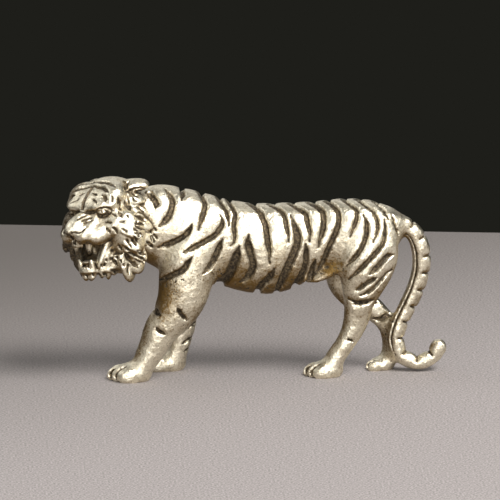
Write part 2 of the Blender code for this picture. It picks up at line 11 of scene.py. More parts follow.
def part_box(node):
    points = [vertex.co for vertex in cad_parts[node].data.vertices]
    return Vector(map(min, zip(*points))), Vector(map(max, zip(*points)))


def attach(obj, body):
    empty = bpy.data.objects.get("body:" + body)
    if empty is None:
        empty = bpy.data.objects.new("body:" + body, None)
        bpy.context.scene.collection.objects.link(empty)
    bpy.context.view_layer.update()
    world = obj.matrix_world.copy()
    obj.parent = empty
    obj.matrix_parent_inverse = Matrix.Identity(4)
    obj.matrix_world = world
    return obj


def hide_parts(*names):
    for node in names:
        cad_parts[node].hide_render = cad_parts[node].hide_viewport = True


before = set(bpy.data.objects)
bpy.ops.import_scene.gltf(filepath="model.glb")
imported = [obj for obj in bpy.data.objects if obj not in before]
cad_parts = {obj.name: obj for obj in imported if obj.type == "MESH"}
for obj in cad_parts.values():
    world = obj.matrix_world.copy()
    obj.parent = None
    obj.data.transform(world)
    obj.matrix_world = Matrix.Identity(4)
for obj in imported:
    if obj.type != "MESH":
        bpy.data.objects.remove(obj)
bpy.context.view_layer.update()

# The body, from the neck to the rump. The master of such a casting is modelled by hand in wax, so
# this is wax too, in millimetres, and comes to metres when the figure is cast. The trunk is a skin
# over flattened ovals set along the spine: x, top z, bottom z, half width, y of the middle.
BODY_OVALS = (
    (-20.5, 29.0, 21.0, 3.0, -1.6),
    (-18.5, 30.1, 19.6, 4.2, -1.1),
    (-16.5, 30.8, 18.4, 4.7, -0.6),
    (-14.0, 31.0, 16.9, 5.0, -0.2),
    (-11.0, 30.4, 15.4, 5.3, 0.0),
    (-8.0, 29.7, 14.9, 5.3, 0.0),
    (-5.0, 28.8, 14.5, 5.1, 0.0),
    (-2.0, 28.1, 13.7, 5.1, 0.0),
    (1.0, 27.8, 13.1, 5.1, 0.0),
    (4.0, 27.8, 13.2, 5.0, 0.0),
    (7.0, 27.9, 14.1, 4.8, 0.0),
    (10.0, 28.0, 15.6, 4.5, 0.0),
    (13.0, 28.3, 16.8, 4.5, 0.0),
    (16.0, 28.4, 17.6, 4.7, 0.0),
    (19.0, 28.1, 18.0, 4.6, 0.0),
    (21.5, 27.3, 18.8, 4.0, 0.0),
    (23.3, 26.3, 20.6, 2.8, 0.0),
    (24.2, 25.5, 22.6, 1.5, 0.0),
)
BODY_FLATNESS = 2.25


def run_through(stations, spacing):
    """A smooth run through the rows of a table, in steps of about this spacing."""
    rows = np.array(stations, float)
    rows = np.vstack([2 * rows[0] - rows[1], rows, 2 * rows[-1] - rows[-2]])
    run = []
    for a, b, c, d in zip(rows, rows[1:], rows[2:], rows[3:]):
        steps = max(1, round(np.linalg.norm(c[:3] - b[:3]) / spacing))
        for t in np.arange(steps) / steps:
            bend = (2 * a - 5 * b + 4 * c - d) * t**2 + (3 * b - a - 3 * c + d) * t**3
            run.append(0.5 * (2 * b + (c - a) * t + bend))
    return np.array([*run, rows[-2]])


def skin_over(wax, rings):
    """Closed skin over rings of points, with a flat cap at each end."""
    made = [[wax.verts.new(point) for point in ring] for ring in rings]
    for near, far in zip(made, made[1:]):
        for i in range(len(near)):
            j = (i + 1) % len(near)
            wax.faces.new((near[i], near[j], far[j], far[i]))
    wax.faces.new(made[0][::-1])
    wax.faces.new(made[-1])


trunk_wax = bmesh.new()
BODY_CORNERS = 64
around = np.arange(BODY_CORNERS) * math.tau / BODY_CORNERS
ring_y = np.sign(np.cos(around)) * np.abs(np.cos(around)) ** (2 / BODY_FLATNESS)
ring_z = np.sign(np.sin(around)) * np.abs(np.sin(around)) ** (2 / BODY_FLATNESS)
body_rings = []
for x, top, bottom, half_width, middle in run_through(BODY_OVALS, 0.6):
    y = middle + half_width * ring_y
    z = (top + bottom) / 2 + (top - bottom) / 2 * ring_z
    body_rings.append(np.stack([np.full(BODY_CORNERS, x), y, z], axis=1))
skin_over(trunk_wax, body_rings)

# The fold of loose skin on each flank, from the belly to the front of the thigh: x, side, z,
# thickness. It is a thin roll of the same wax, pressed on.
FLANK_FOLD = (
    (8.0, 3.2, 15.6, 0.45),
    (10.0, 3.5, 15.9, 0.6),
    (12.0, 3.7, 16.7, 0.65),
    (13.6, 3.9, 17.7, 0.6),
    (15.0, 4.0, 19.0, 0.5),
)

# The four legs, caught in mid-stride. Each is a rod of wax bent to its joints, thick at the
# shoulder or thigh: x, share of the stance, z, half depth, half breadth. Left is the near side.
FORE_STANCE = 3.85
HIND_STANCE = 2.5
LEFT_FORELEG = (
    (-9.4, 0.70, 26.0, 2.6, 1.6),
    (-9.8, 0.84, 21.5, 4.6, 2.8),
    (-10.5, 0.92, 17.2, 4.5, 2.9),
    (-11.3, 0.98, 13.4, 4.0, 2.7),
    (-12.9, 1.00, 10.4, 3.35, 2.5),
    (-14.6, 1.00, 8.2, 2.85, 2.3),
    (-15.7, 1.00, 5.8, 2.45, 2.15),
    (-16.8, 1.00, 3.8, 2.1, 2.1),
    (-17.9, 1.00, 1.9, 1.7, 2.1),
)
RIGHT_FORELEG = (
    (-9.4, 0.70, 26.0, 2.6, 1.6),
    (-9.8, 0.84, 21.5, 4.5, 2.8),
    (-10.4, 0.92, 17.2, 4.2, 2.8),
    (-10.9, 0.98, 13.2, 3.4, 2.6),
    (-10.9, 1.00, 10.2, 2.7, 2.3),
    (-11.0, 1.00, 7.4, 2.35, 2.15),
    (-11.5, 1.00, 4.8, 2.1, 2.0),
    (-12.1, 1.00, 2.6, 2.0, 2.0),
    (-12.6, 1.00, 1.2, 1.6, 2.0),
)
LEFT_HIND_LEG = (
    (18.8, 0.85, 25.0, 3.2, 2.0),
    (18.7, 1.12, 21.0, 4.7, 2.9),
    (18.1, 1.22, 17.6, 4.5, 2.9),
    (17.5, 1.20, 14.6, 3.5, 2.5),
    (17.0, 1.12, 12.0, 2.5, 2.1),
    (16.7, 1.05, 9.8, 2.2, 1.75),
    (16.1, 1.00, 7.7, 1.9, 1.6),
    (14.8, 1.00, 5.3, 1.6, 1.6),
    (13.3, 1.00, 3.1, 1.6, 1.7),
    (12.5, 1.00, 1.6, 1.5, 1.7),
)
RIGHT_HIND_LEG = (
    (18.4, 0.85, 25.0, 3.2, 2.0),
    (17.6, 1.12, 21.0, 4.8, 2.8),
    (16.0, 1.20, 17.4, 4.4, 2.8),
    (15.5, 1.18, 14.4, 3.3, 2.5),
    (17.2, 1.10, 11.6, 2.5, 2.0),
    (19.8, 1.05, 9.6, 1.9, 1.75),
    (21.7, 1.00, 7.6, 1.65, 1.5),
    (22.3, 1.00, 5.3, 1.35, 1.4),
    (22.4, 1.00, 3.0, 1.4, 1.5),
    (22.1, 1.00, 1.4, 1.4, 1.6),
)


def bend_rod(wax, path, depths, breadths, side=(0, 1, 0), corners=36):
    """A rod of wax along a path. Its breadth lies along the side direction, its depth across."""
    angles = np.arange(corners) * math.tau / corners
    rings = []
    for point, tangent, depth, breadth in zip(path, np.gradient(path, axis=0), depths, breadths):
        ahead = Vector(tangent).normalized()
        across = ahead.cross(Vector(side)).normalized()
        beside = across.cross(ahead)
        rings.append(
            [
                Vector(point) + across * depth * math.cos(a) + beside * breadth * math.sin(a)
                for a in angles
            ]
        )
    skin_over(wax, rings)


LEGS = (
    (LEFT_FORELEG, -FORE_STANCE),
    (RIGHT_FORELEG, FORE_STANCE),
    (LEFT_HIND_LEG, -HIND_STANCE),
    (RIGHT_HIND_LEG, HIND_STANCE),
)
fold_run = run_through(FLANK_FOLD, 0.5)
for side in (-1, 1):
    bend_rod(trunk_wax, fold_run[:, :3] * (1, side, 1), fold_run[:, 3], fold_run[:, 3], corners=20)
for stations, stance in LEGS:
    run = run_through(stations, 0.5)
    leg_path = np.stack([run[:, 0], run[:, 1] * stance, run[:, 2]], axis=1)
    bend_rod(trunk_wax, leg_path, run[:, 3], run[:, 4])

# The paws, each a rounded pad under the ankle: x of the toe tips, x of the heel, half breadth,
# height of the instep, and where it stands. Its toes and claws come later, on the smoothed limb.
PAWS = (
    (-23.3, -16.0, 2.45, 2.7, -FORE_STANCE),
    (-17.4, -10.2, 2.35, 2.7, FORE_STANCE),
    (8.1, 14.6, 2.1, 2.4, -HIND_STANCE),
    (18.4, 23.2, 2.1, 1.9, HIND_STANCE),
)


def press_ball(wax, centre, radii, nose_down=0.0):
    """A ball of wax pressed to these radii and tilted nose down by these degrees."""
    tilt = Matrix.Rotation(math.radians(nose_down), 3, "Y")
    place = Matrix.LocRotScale(Vector(centre), tilt, Vector(radii))
    bmesh.ops.create_icosphere(wax, subdivisions=4, radius=1.0, matrix=place)


for toe_x, heel_x, half_breadth, instep, stance in PAWS:
    length = heel_x - toe_x
    pad_radii = (0.46 * length, half_breadth, 0.72 * instep)
    press_ball(trunk_wax, (toe_x + 0.55 * length, stance, 0.38 * instep), pad_radii)

# The tail, one long rod that falls behind the hind legs and turns up at the floor in a round
# tip: x, y, z, radius along it. On the casting it touches the far hind leg and is one with it.
TAIL_RUN = (
    (22.0, 0.0, 25.0, 1.6),
    (23.6, 0.0, 24.4, 1.5),
    (25.1, 0.1, 23.6, 1.45),
    (26.25, 0.2, 22.3, 1.5),
    (26.9, 0.3, 20.7, 1.57),
    (27.2, 0.4, 19.0, 1.6),
    (27.2, 0.5, 17.2, 1.57),
    (26.9, 0.6, 15.4, 1.53),
    (26.35, 0.7, 13.6, 1.52),
    (25.6, 0.8, 11.8, 1.5),
    (24.8, 0.9, 10.1, 1.48),
    (24.0, 0.9, 8.4, 1.48),
    (23.4, 0.9, 6.8, 1.48),
    (23.15, 0.9, 5.2, 1.46),
    (23.45, 0.8, 3.7, 1.4),
    (24.4, 0.7, 2.3, 1.35),
    (25.9, 0.6, 1.55, 1.32),
    (27.3, 0.5, 1.5, 1.34),
    (28.6, 0.5, 2.1, 1.34),
    (29.6, 0.5, 3.0, 1.38),
)
TAIL_TIP = ((30.0, 0.5, 3.85), (1.5, 1.42, 1.5))
tail_path = run_through(TAIL_RUN, 0.3)
bend_rod(trunk_wax, tail_path[:, :3], tail_path[:, 3], tail_path[:, 3])
press_ball(trunk_wax, *TAIL_TIP)


# The rough wax is warmed until its pieces flow into one skin, then rubbed smooth with a thumb.
# The grain is the size of the cells that the skin is made of, in millimetres.
def wax_mesh(wax, name):
    """The wax as a mesh. The wax itself goes."""
    bmesh.ops.recalc_face_normals(wax, faces=wax.faces)
    mesh = bpy.data.meshes.new(name)
    wax.to_mesh(mesh)
    wax.free()
    return mesh


def settled(form):
    """The form's mesh with its modifiers applied. The form itself goes."""
    bpy.context.view_layer.update()
    seen = form.evaluated_get(bpy.context.evaluated_depsgraph_get())
    mesh = bpy.data.meshes.new_from_object(seen)
    bpy.data.objects.remove(form)
    return mesh


def on_bench(mesh, name):
    """The mesh as a form standing in the scene."""
    form = bpy.data.objects.new(name, mesh)
    bpy.context.scene.collection.objects.link(form)
    return form


def melted(wax, name, grain, rubs, rounding=0):
    """The pieces of wax as one skin, rubbed so many times and then rounded so many."""
    form = on_bench(wax_mesh(wax, name), name)
    melt = form.modifiers.new("melt", "REMESH")
    melt.mode = "VOXEL"
    melt.voxel_size = grain
    rub = form.modifiers.new("rub", "SMOOTH")
    rub.factor = 0.5
    rub.iterations = rubs
    if rounding:
        smooth_skin = form.modifiers.new("rounding", "SUBSURF")
        smooth_skin.levels = smooth_skin.render_levels = rounding
    return settled(form)


trunk = melted(trunk_wax, "trunk", grain=0.5, rubs=5, rounding=2)

# The skull, jaws and cheeks, in the head's own axes from the point between the eyes: ahead, to
# its left, up. Pressed balls of wax: centre, radii, degrees of nose-down tilt.
SKULL = (
    ((-6.1, 0.0, -1.2), (5.9, 5.6, 4.8), 0),
    ((-3.0, 0.0, 0.3), (3.5, 4.3, 2.3), 25),
    ((1.6, 0.0, -1.6), (3.35, 1.65, 1.45), 12),
    ((3.6, 0.0, -2.0), (0.95, 1.1, 0.85), 0),
    ((-5.0, 0.0, -5.5), (3.6, 5.2, 5.0), 0),
    ((1.2, 0.0, -9.55), (2.0, 1.9, 0.9), -12),
    ((-1.9, 0.0, -9.1), (3.0, 3.0, 1.3), -14),
)
CHEEKS = (
    ((-1.6, 2.4, 0.75), (2.0, 1.9, 0.95), 15),
    ((-3.8, 3.0, 1.4), (2.7, 2.3, 1.75), 25),
    ((-2.6, 3.8, 0.5), (1.8, 1.35, 1.05), 10),
    ((2.2, 1.4, -3.2), (2.05, 1.6, 1.5), 5),
    ((0.0, 2.8, -3.7), (2.6, 1.6, 1.6), 18),
    ((-2.8, 4.3, -3.0), (2.7, 2.2, 2.6), 0),
    ((-3.6, 5.1, -5.0), (2.9, 2.8, 4.4), 0),
    ((-2.7, 3.6, -9.1), (2.2, 2.5, 2.1), 0),
    ((-1.1, 2.9, -7.3), (1.6, 0.9, 2.3), -35),
    ((-0.6, 2.0, -9.9), (1.7, 1.7, 0.9), -10),
    ((0.3, 1.7, -2.1), (1.9, 1.15, 1.1), 15),
    ((-1.4, 2.6, -1.9), (1.5, 1.25, 1.0), 0),
)


def both_sides(place):
    """A place on the head and its mirror on the other side."""
    x, y, z = place
    return (x, y, z), (x, -y, z)


skull_wax = bmesh.new()
for centre, radii, tilt in SKULL:
    press_ball(skull_wax, centre, radii, tilt)
for centre, radii, tilt in CHEEKS:
    for place in both_sides(centre):
        press_ball(skull_wax, place, radii, tilt)
skull = melted(skull_wax, "skull", grain=0.34, rubs=4, rounding=1)

# The open mouth, scooped out with a round tool, and the eye sockets and nostrils, pressed in
# with a ball-ended one: place, reach, depth.
MOUTH_SCOOPS = (
    ((0.9, 0.0, -6.6), (3.2, 2.2, 1.9), -12),
    ((3.3, 0.0, -6.5), (2.4, 2.4, 1.9), -5),
)
PRESSED_IN = (
    ((-0.75, 2.9, -0.6), 0.9, 0.5),
    ((4.2, 0.58, -2.35), 0.5, 0.45),
)
scoop_wax = bmesh.new()
for centre, radii, tilt in MOUTH_SCOOPS:
    press_ball(scoop_wax, centre, radii, tilt)
scoop = on_bench(melted(scoop_wax, "scoop", grain=0.25, rubs=1), "scoop")
skull_form = on_bench(skull, "skull")
scooping = skull_form.modifiers.new("scooping", "BOOLEAN")
scooping.operation = "DIFFERENCE"
scooping.object = scoop
skull = settled(skull_form)
bpy.data.objects.remove(scoop)
for place, reach, depth in PRESSED_IN:
    for spot in both_sides(place):
        for vertex in skull.vertices:
            share = 1 - (vertex.co - Vector(spot)).length / reach
            if share > 0:
                vertex.co -= vertex.normal * depth * share * share * (3 - 2 * share)
head_wax = bmesh.new()
head_wax.from_mesh(skull)

# Eyes, nose wings, tongue, ears, lips and teeth, set on the skull one by one: small balls, and
# tapering rolls given by root, tip, half thickness, breadth to thickness and how blunt they end.
TONGUE = ((0.4, 0.0, -8.35), (2.0, 1.1, 0.5), -14)
EYEBALL = ((-0.87, 3.0, -0.52), (0.64, 0.8, 0.42), 0)
NOSE_WING = ((3.6, 0.78, -2.1), (0.75, 0.5, 0.5), 10)
ROLLS = (
    ((-7.0, 3.7, 2.0), (-10.1, 5.8, 1.5), 0.8, 1.9, 3.5),
    ((-1.0, 3.2, -5.2), (1.5, 2.1, -9.2), 0.55, 1.3, 3.5),
    ((-0.4, 2.4, -5.6), (1.3, 1.6, -8.6), 0.28, 1.2, 3.0),
    ((1.7, 1.4, -4.2), (2.0, 1.25, -6.6), 0.6, 1.0, 1.6),
    ((1.75, 1.2, -9.4), (1.95, 1.2, -7.4), 0.5, 1.0, 1.6),
    ((2.9, 0.95, -4.1), (3.0, 0.9, -5.3), 0.24, 1.0, 3.0),
    ((3.15, 0.57, -4.1), (3.25, 0.55, -5.2), 0.24, 1.0, 3.0),
    ((3.3, 0.19, -4.1), (3.4, 0.18, -5.2), 0.24, 1.0, 3.0),
    ((2.45, 0.72, -9.3), (2.6, 0.7, -8.45), 0.22, 1.0, 3.0),
    ((2.6, 0.25, -9.3), (2.75, 0.24, -8.45), 0.22, 1.0, 3.0),
)


def pull_lock(wax, root, tip, radius, breadth=1.0, bluntness=1.6):
    """A roll of wax pulled to a point. Its breadth lies across the way out from the head."""
    root, tip = np.array(root), np.array(tip)
    shares = np.linspace(0, 1, 14)[:, None]
    path = root + (tip - root) * shares
    fullness = radius * np.sqrt(1.02 - shares[:, 0] ** bluntness)
    outward = Vector((0, root[1], root[2] + 5)) if abs(root[1]) > 0.7 else Vector((1, 0, 0))
    side = Vector(tip - root).cross(outward)
    bend_rod(wax, path, fullness, fullness * breadth, side=side, corners=20)


press_ball(head_wax, *TONGUE)
for centre, radii, tilt in (EYEBALL, NOSE_WING):
    for place in both_sides(centre):
        press_ball(head_wax, place, radii, tilt)
for root, tip, radius, breadth, bluntness in ROLLS:
    for ends in zip(both_sides(root), both_sides(tip)):
        pull_lock(head_wax, *ends, radius, breadth, bluntness)

# The ruff of long fur round the face, laid on in pointed locks that sweep back and down:
# root, tip, half thickness, breadth to thickness. The long ones aren't mirrored: those of the
# near side hang lowest.
RUFF_LOCKS = (
    ((-5.6, 4.6, 0.2), (-8.2, 6.0, -0.6), 0.9, 1.7),
    ((-4.8, 5.4, -1.6), (-7.5, 6.9, -2.8), 0.9, 1.8),
    ((-4.4, 6.0, -3.2), (-6.9, 7.5, -5.0), 0.9, 1.8),
    ((-4.0, 6.2, -5.0), (-6.1, 7.7, -7.2), 0.9, 1.8),
    ((-3.4, 5.6, -6.6), (-4.2, 7.2, -9.6), 0.9, 1.8),
    ((-1.7, 3.0, -8.6), (-0.6, 3.1, -10.9), 0.9, 1.6),
    ((0.3, 1.8, -9.2), (1.0, 1.9, -10.9), 0.8, 1.3),
    ((1.5, 0.6, -9.4), (2.1, 0.5, -11.0), 0.8, 1.3),
    ((-2.2, 6.0, -3.4), (-3.0, 8.2, -5.4), 0.8, 1.8),
    ((-2.2, 6.0, -5.4), (-2.6, 7.9, -7.6), 0.8, 1.8),
    ((-2.6, 4.8, -1.8), (-3.8, 6.9, -3.4), 0.7, 1.6),
    ((-1.8, 3.9, -7.8), (-1.3, 4.4, -10.6), 0.8, 1.8),
    ((-0.6, 2.6, -8.8), (0.1, 2.4, -11.4), 0.7, 1.6),
)
LONG_LOCKS = (
    ((-3.0, 4.6, -8.2), (-1.8, 5.1, -12.4), 1.05, 2.5),
    ((-3.3, 5.0, -7.6), (-3.7, 6.0, -11.5), 1.1, 2.3),
    ((-3.0, -4.6, -8.2), (-2.2, -5.4, -10.9), 1.0, 2.0),
    ((-2.4, -6.0, -4.4), (-1.6, -7.3, -7.1), 0.8, 1.7),
    ((-2.0, -4.9, -5.8), (-0.6, -5.0, -8.7), 0.7, 1.7),
)
for root, tip, radius, breadth in RUFF_LOCKS:
    for ends in zip(both_sides(root), both_sides(tip)):
        pull_lock(head_wax, *ends, radius, breadth)
for lock in LONG_LOCKS:
    pull_lock(head_wax, *lock)

# The head is set on the neck turned to the figure's left, a little down and a little tipped, by
# these degrees. The point between the eyes is what it hangs on.
HEAD_TURN, HEAD_DROP, HEAD_ROLL = 48, 8, 8
HEAD_ON_NECK = (
    Matrix.Translation((-27.0, -5.5, 28.0))
    @ Matrix.Rotation(math.radians(180 + HEAD_TURN), 4, "Z")
    @ Matrix.Rotation(math.radians(HEAD_DROP), 4, "Y")
    @ Matrix.Rotation(math.radians(HEAD_ROLL), 4, "X")
)
bmesh.ops.transform(head_wax, matrix=HEAD_ON_NECK, verts=head_wax.verts)
head = wax_mesh(head_wax, "head")

# Four toes on each paw, laid side by side over the pad, each with a blunt claw at its tip: how far
# each is set back, in paw lengths, from the outer toe to the inner one.
TOE_SETBACKS = (0.24, 0.1, 0.0, 0.06)
CLAW_RADIUS = 0.28


def toe_pitch(half_breadth, stance):
    """From one toe to the next across a paw, counted towards the outside."""
    return math.copysign(2 * half_breadth / len(TOE_SETBACKS), stance)


figure_wax = bmesh.new()
figure_wax.from_mesh(trunk)
figure_wax.from_mesh(head)
for toe_x, heel_x, half_breadth, instep, stance in PAWS:
    length = heel_x - toe_x
    pitch = toe_pitch(half_breadth, stance)
    for order, setback in enumerate(TOE_SETBACKS):
        offset = (1.5 - order) * pitch
        setback *= length
        toe = (toe_x + 0.24 * length + setback, stance + offset, 0.33 * instep)
        press_ball(figure_wax, toe, (0.24 * length, 0.56 * abs(pitch), 0.5 * instep), -8)
        claw_root = (toe_x + 0.12 * length + setback, stance + offset, 0.36 * instep)
        claw_tip = (toe_x - 0.01 * length + setback, stance + offset, 0.12 * instep)
        pull_lock(figure_wax, claw_root, claw_tip, CLAW_RADIUS)
figure = melted(figure_wax, "figure", grain=0.13, rubs=1)

# Cutting the stripes. They are gouged into the wax with a narrow U-shaped tool, dark on the real
# piece because patina stays in them. The list is a side drawing, the eye a little above: half
# width of the gouge, then x and height along it. The far side is cut to the same drawing.
GOUGE_DEPTH = 0.6
STRIPES = (
    (0.45, (-17.0, 29.7), (-16.2, 29.3), (-15.6, 28.6), (-15.3, 27.9), (-15.6, 27.2)),
    (0.45, (-13.8, 30.1), (-13.0, 29.3), (-12.7, 28.3), (-12.9, 27.0), (-13.6, 25.5), (-14.9, 24.2)),
    (0.35, (-11.8, 33.2), (-11.0, 29.8), (-11.3, 28.5)),
    (0.40, (-10.6, 33.4), (-7.9, 29.2), (-7.5, 27.5), (-7.9, 26.0), (-8.4, 24.6), (-8.7, 23.5)),
    (0.33, (-9.7, 24.5), (-10.2, 23.4), (-11.2, 22.5), (-12.5, 21.8), (-14.0, 21.2), (-15.1, 20.8)),
    (0.35, (-5.1, 25.9), (-4.8, 24.6), (-5.9, 22.9), (-7.2, 22.0), (-9.0, 21.1), (-11.2, 20.0)),
    (0.30, (-7.4, 32.6), (-4.4, 27.2), (-4.0, 26.0), (-3.8, 24.9), (-3.9, 24.2)),
    (0.33, (-5.8, 32.0), (-2.9, 26.8), (-3.0, 24.5), (-2.9, 22.5), (-3.1, 21.5), (-3.6, 21.0)),
    (0.40, (-4.9, 22.0), (-5.3, 21.0), (-5.9, 19.6), (-6.5, 18.2), (-7.4, 17.0), (-8.0, 16.6)),
    (0.40, (-9.8, 19.2), (-10.4, 18.4), (-11.2, 17.3), (-12.4, 16.7), (-13.5, 16.2), (-15.2, 15.7)),
    (0.72, (-2.2, 20.8), (-2.6, 19.5), (-3.1, 18.0), (-3.6, 16.8), (-4.3, 15.7), (-6.3, 13.9)),
    (0.58, (-0.7, 22.7), (-0.8, 21.2), (0.0, 18.0), (-0.3, 16.8), (-1.0, 15.8), (-2.0, 15.2)),
    (0.45, (-3.6, 31.0), (0.9, 26.9), (1.6, 25.5), (2.1, 24.0), (2.3, 22.0), (2.6, 20.0), (2.6, 18.2)),
    (0.50, (3.4, 17.2), (3.0, 16.3), (2.2, 15.3), (1.4, 14.5), (0.2, 12.0)),
    (0.33, (-0.6, 30.1), (4.3, 26.8), (5.1, 25.5), (5.4, 24.0), (5.6, 22.5), (5.7, 21.5)),
    (0.62, (6.0, 25.8), (7.0, 23.0), (7.1, 21.3), (6.6, 19.8), (5.3, 16.8), (4.3, 14.4), (3.4, 12.4)),
    (0.36, (2.4, 30.4), (7.9, 26.6), (8.6, 25.4), (8.9, 24.0), (9.1, 22.7), (9.0, 21.5)),
    (0.45, (8.4, 21.1), (8.5, 19.8), (8.5, 18.3), (8.2, 17.0), (7.7, 15.9), (6.2, 13.3)),
    (0.42, (5.6, 30.6), (10.6, 27.0), (11.3, 25.3), (11.1, 23.2), (10.7, 21.9), (10.4, 20.6)),
    (0.38, (8.2, 31.2), (13.0, 27.2), (13.7, 25.3), (13.3, 23.3), (12.0, 20.2), (11.0, 17.8), (9.8, 16.2)),
    (0.35, (10.0, 18.6), (9.6, 17.2), (9.3, 16.2), (8.4, 14.0)),
    (0.28, (10.8, 31.4), (16.1, 27.1), (16.6, 26.0), (16.4, 24.7), (15.9, 23.4), (15.4, 22.2)),
    (0.35, (17.6, 25.7), (18.1, 24.5), (18.1, 23.0), (17.6, 21.3), (16.5, 19.4), (14.8, 17.6)),
    (0.27, (13.3, 31.0), (18.6, 27.0), (19.5, 25.8), (20.0, 24.4), (19.8, 23.0), (19.1, 21.4)),
    (0.20, (16.0, 30.6), (20.9, 26.9), (21.3, 26.0), (21.7, 25.1)),
    (0.30, (21.0, 25.1), (21.2, 23.8), (21.0, 21.8), (20.3, 20.5), (17.6, 17.6), (15.2, 15.4)),
    (0.15, (22.4, 25.5), (22.9, 24.0), (23.4, 22.5)),
    (0.42, (22.4, 19.3), (21.6, 19.1), (21.0, 18.6), (19.8, 17.3), (18.5, 16.2)),
    (0.20, (22.2, 16.9), (21.2, 16.0), (20.2, 14.9), (19.2, 13.9), (18.2, 13.2), (17.0, 12.8)),
    (0.28, (19.7, 15.6), (18.2, 14.8), (17.0, 14.0), (16.3, 13.7)),
    (0.22, (19.3, 12.1), (18.4, 11.6), (17.4, 11.5), (15.9, 11.5)),
)


def outward_of(mesh):
    """The way out of the wax at each point of its skin."""
    normals = np.empty(len(mesh.vertices) * 3, np.float32)
    mesh.vertex_normals.foreach_get("vector", normals)
    return normals.reshape(-1, 3).astype(float)


count = len(figure.vertices)
skin = np.empty(count * 3)
figure.vertices.foreach_get("co", skin)
skin = skin.reshape(-1, 3)
outward = outward_of(figure)
cut_depth = np.zeros(count)
shade = np.zeros(count)


def eased(value):
    """From 0 to 1 with a soft start and end, and flat outside."""
    value = np.clip(value, 0, 1)
    return value * value * (3 - 2 * value)


def near_line(places, line, reach):
    """Which places lie within reach of a smooth line, how far off they are and how far along."""
    line = run_through(line, 0.3)
    inside = (places > line.min(axis=0) - reach) & (places < line.max(axis=0) + reach)
    which = np.nonzero(inside.all(axis=1))[0]
    near = places[which]
    off = np.full(len(which), np.inf)
    along = np.zeros(len(which))
    lengths = np.linalg.norm(np.diff(line, axis=0), axis=1)
    before = 0.0
    for start, end, length in zip(line, line[1:], lengths):
        share = np.clip((near - start) @ (end - start) / length**2, 0, 1)
        distance = np.linalg.norm(near - start - share[:, None] * (end - start), axis=1)
        closer = distance < off
        off[closer] = distance[closer]
        along[closer] = (before + share * length)[closer] / lengths.sum()
        before += length
    return which, off, along


def gouge(places, line, half_width, depth, facing=None):
    """Cuts a steep-walled groove along a line. Its banks sink a little, so that the fur swells."""
    which, off, along = near_line(places, line, half_width + 1.4)
    across, up_down = places[which, 0], places[which, -1]
    off += 0.03 * np.sin(5.1 * across + 3.3 * up_down) + 0.02 * np.sin(4.2 * up_down - 7.7 * across)
    narrowing = 0.3 + 0.7 * eased(np.minimum(along, 1 - along) * 4.5)
    shallowing = 0.25 + 0.75 * eased(np.minimum(along, 1 - along) * 5)
    wall = eased(1.7 * (1 - off / (half_width * narrowing + 0.12)) + 0.1)
    bank = np.exp(-((off / (half_width + 0.5)) ** 2))
    ready = np.ones(len(which)) if facing is None else facing[which]
    deep = depth * shallowing * (wall + 0.2 * bank) * ready
    cut_depth[which] = np.maximum(cut_depth[which], deep)
    stain = eased(2.2 * (1 - off / (half_width * narrowing + 0.08)) + 0.1)
    shade[which] = np.maximum(shade[which], stain * ready)


SIDE_VIEW_TILT = math.radians(12)
SIDE_VIEW_RISE = 0.57
height = skin[:, 2] * math.cos(SIDE_VIEW_TILT) - np.abs(skin[:, 1]) * math.sin(SIDE_VIEW_TILT)
side_drawing = np.stack([skin[:, 0], height + SIDE_VIEW_RISE], axis=1)
faces_out = eased((outward[:, 1] * np.sign(skin[:, 1]) + 0.25) * 4)
for half_width, *line in STRIPES:
    gouge(side_drawing, line, half_width, GOUGE_DEPTH, faces_out)

# Short nicks on the legs, two or three to a limb, made with the corner of the same tool: half
# width and depth, then points in space.
LEG_NICKS = (
    (0.28, 0.5, (-12.2, -6.4, 12.2), (-11.5, -6.3, 11.1), (-10.6, -5.8, 10.1)),
    (0.27, 0.45, (-15.6, -6.0, 9.0), (-15.0, -6.2, 8.4), (-14.1, -6.1, 7.9)),
    (0.18, 0.3, (15.0, -4.0, 6.2), (15.7, -4.1, 6.2), (16.3, -3.9, 5.7)),
    (0.28, 0.45, (-10.3, 1.9, 7.2), (-9.5, 2.3, 7.5), (-8.8, 3.4, 7.8)),
    (0.28, 0.45, (-10.9, 1.9, 4.5), (-10.2, 2.1, 4.8), (-9.5, 2.7, 5.1), (-9.2, 4.0, 5.2)),
    (0.2, 0.35, (-10.5, 2.0, 3.2), (-9.8, 2.6, 3.25), (-9.4, 3.8, 3.3)),
    (0.22, 0.35, (18.6, 0.8, 11.3), (19.8, 0.7, 11.6), (20.8, 1.2, 11.3)),
    (0.42, 0.45, (19.2, 0.8, 8.2), (20.6, 0.9, 8.3), (21.5, 1.0, 8.9), (22.4, 1.2, 10.4)),
    (0.2, 0.3, (15.2, -4.2, 13.0), (16.6, -4.6, 12.6), (18.6, -4.4, 13.1)),
    (0.45, 0.8, (-16.3, -2.6, 11.8), (-15.8, -4.4, 11.5), (-15.0, -5.6, 11.0)),
)


def laid_on_skin(line):
    """The line with each of its points moved to the nearest one of the skin."""
    return [skin[np.argmin(((skin - point) ** 2).sum(axis=1))] for point in line]


for half_width, depth, *line in LEG_NICKS:
    gouge(skin, laid_on_skin(line), half_width, depth)

# The toes are parted by a cut from the claws back over the instep.
PARTING_HALF_WIDTH, PARTING_DEPTH = 0.2, 0.4
for toe_x, heel_x, half_breadth, instep, stance in PAWS:
    length = heel_x - toe_x
    pitch = toe_pitch(half_breadth, stance)
    for order in range(3):
        back = toe_x + length * (TOE_SETBACKS[order] + TOE_SETBACKS[order + 1]) / 2
        y = stance + (1 - order) * pitch
        parting = (
            (back + 0.02 * length, y, 0.1 * instep),
            (back + 0.02 * length, y, 0.4 * instep),
            (back + 0.1 * length, y, 0.75 * instep),
            (back + 0.25 * length, y, 1.0 * instep),
        )
        gouge(skin, laid_on_skin(parting), PARTING_HALF_WIDTH, PARTING_DEPTH)

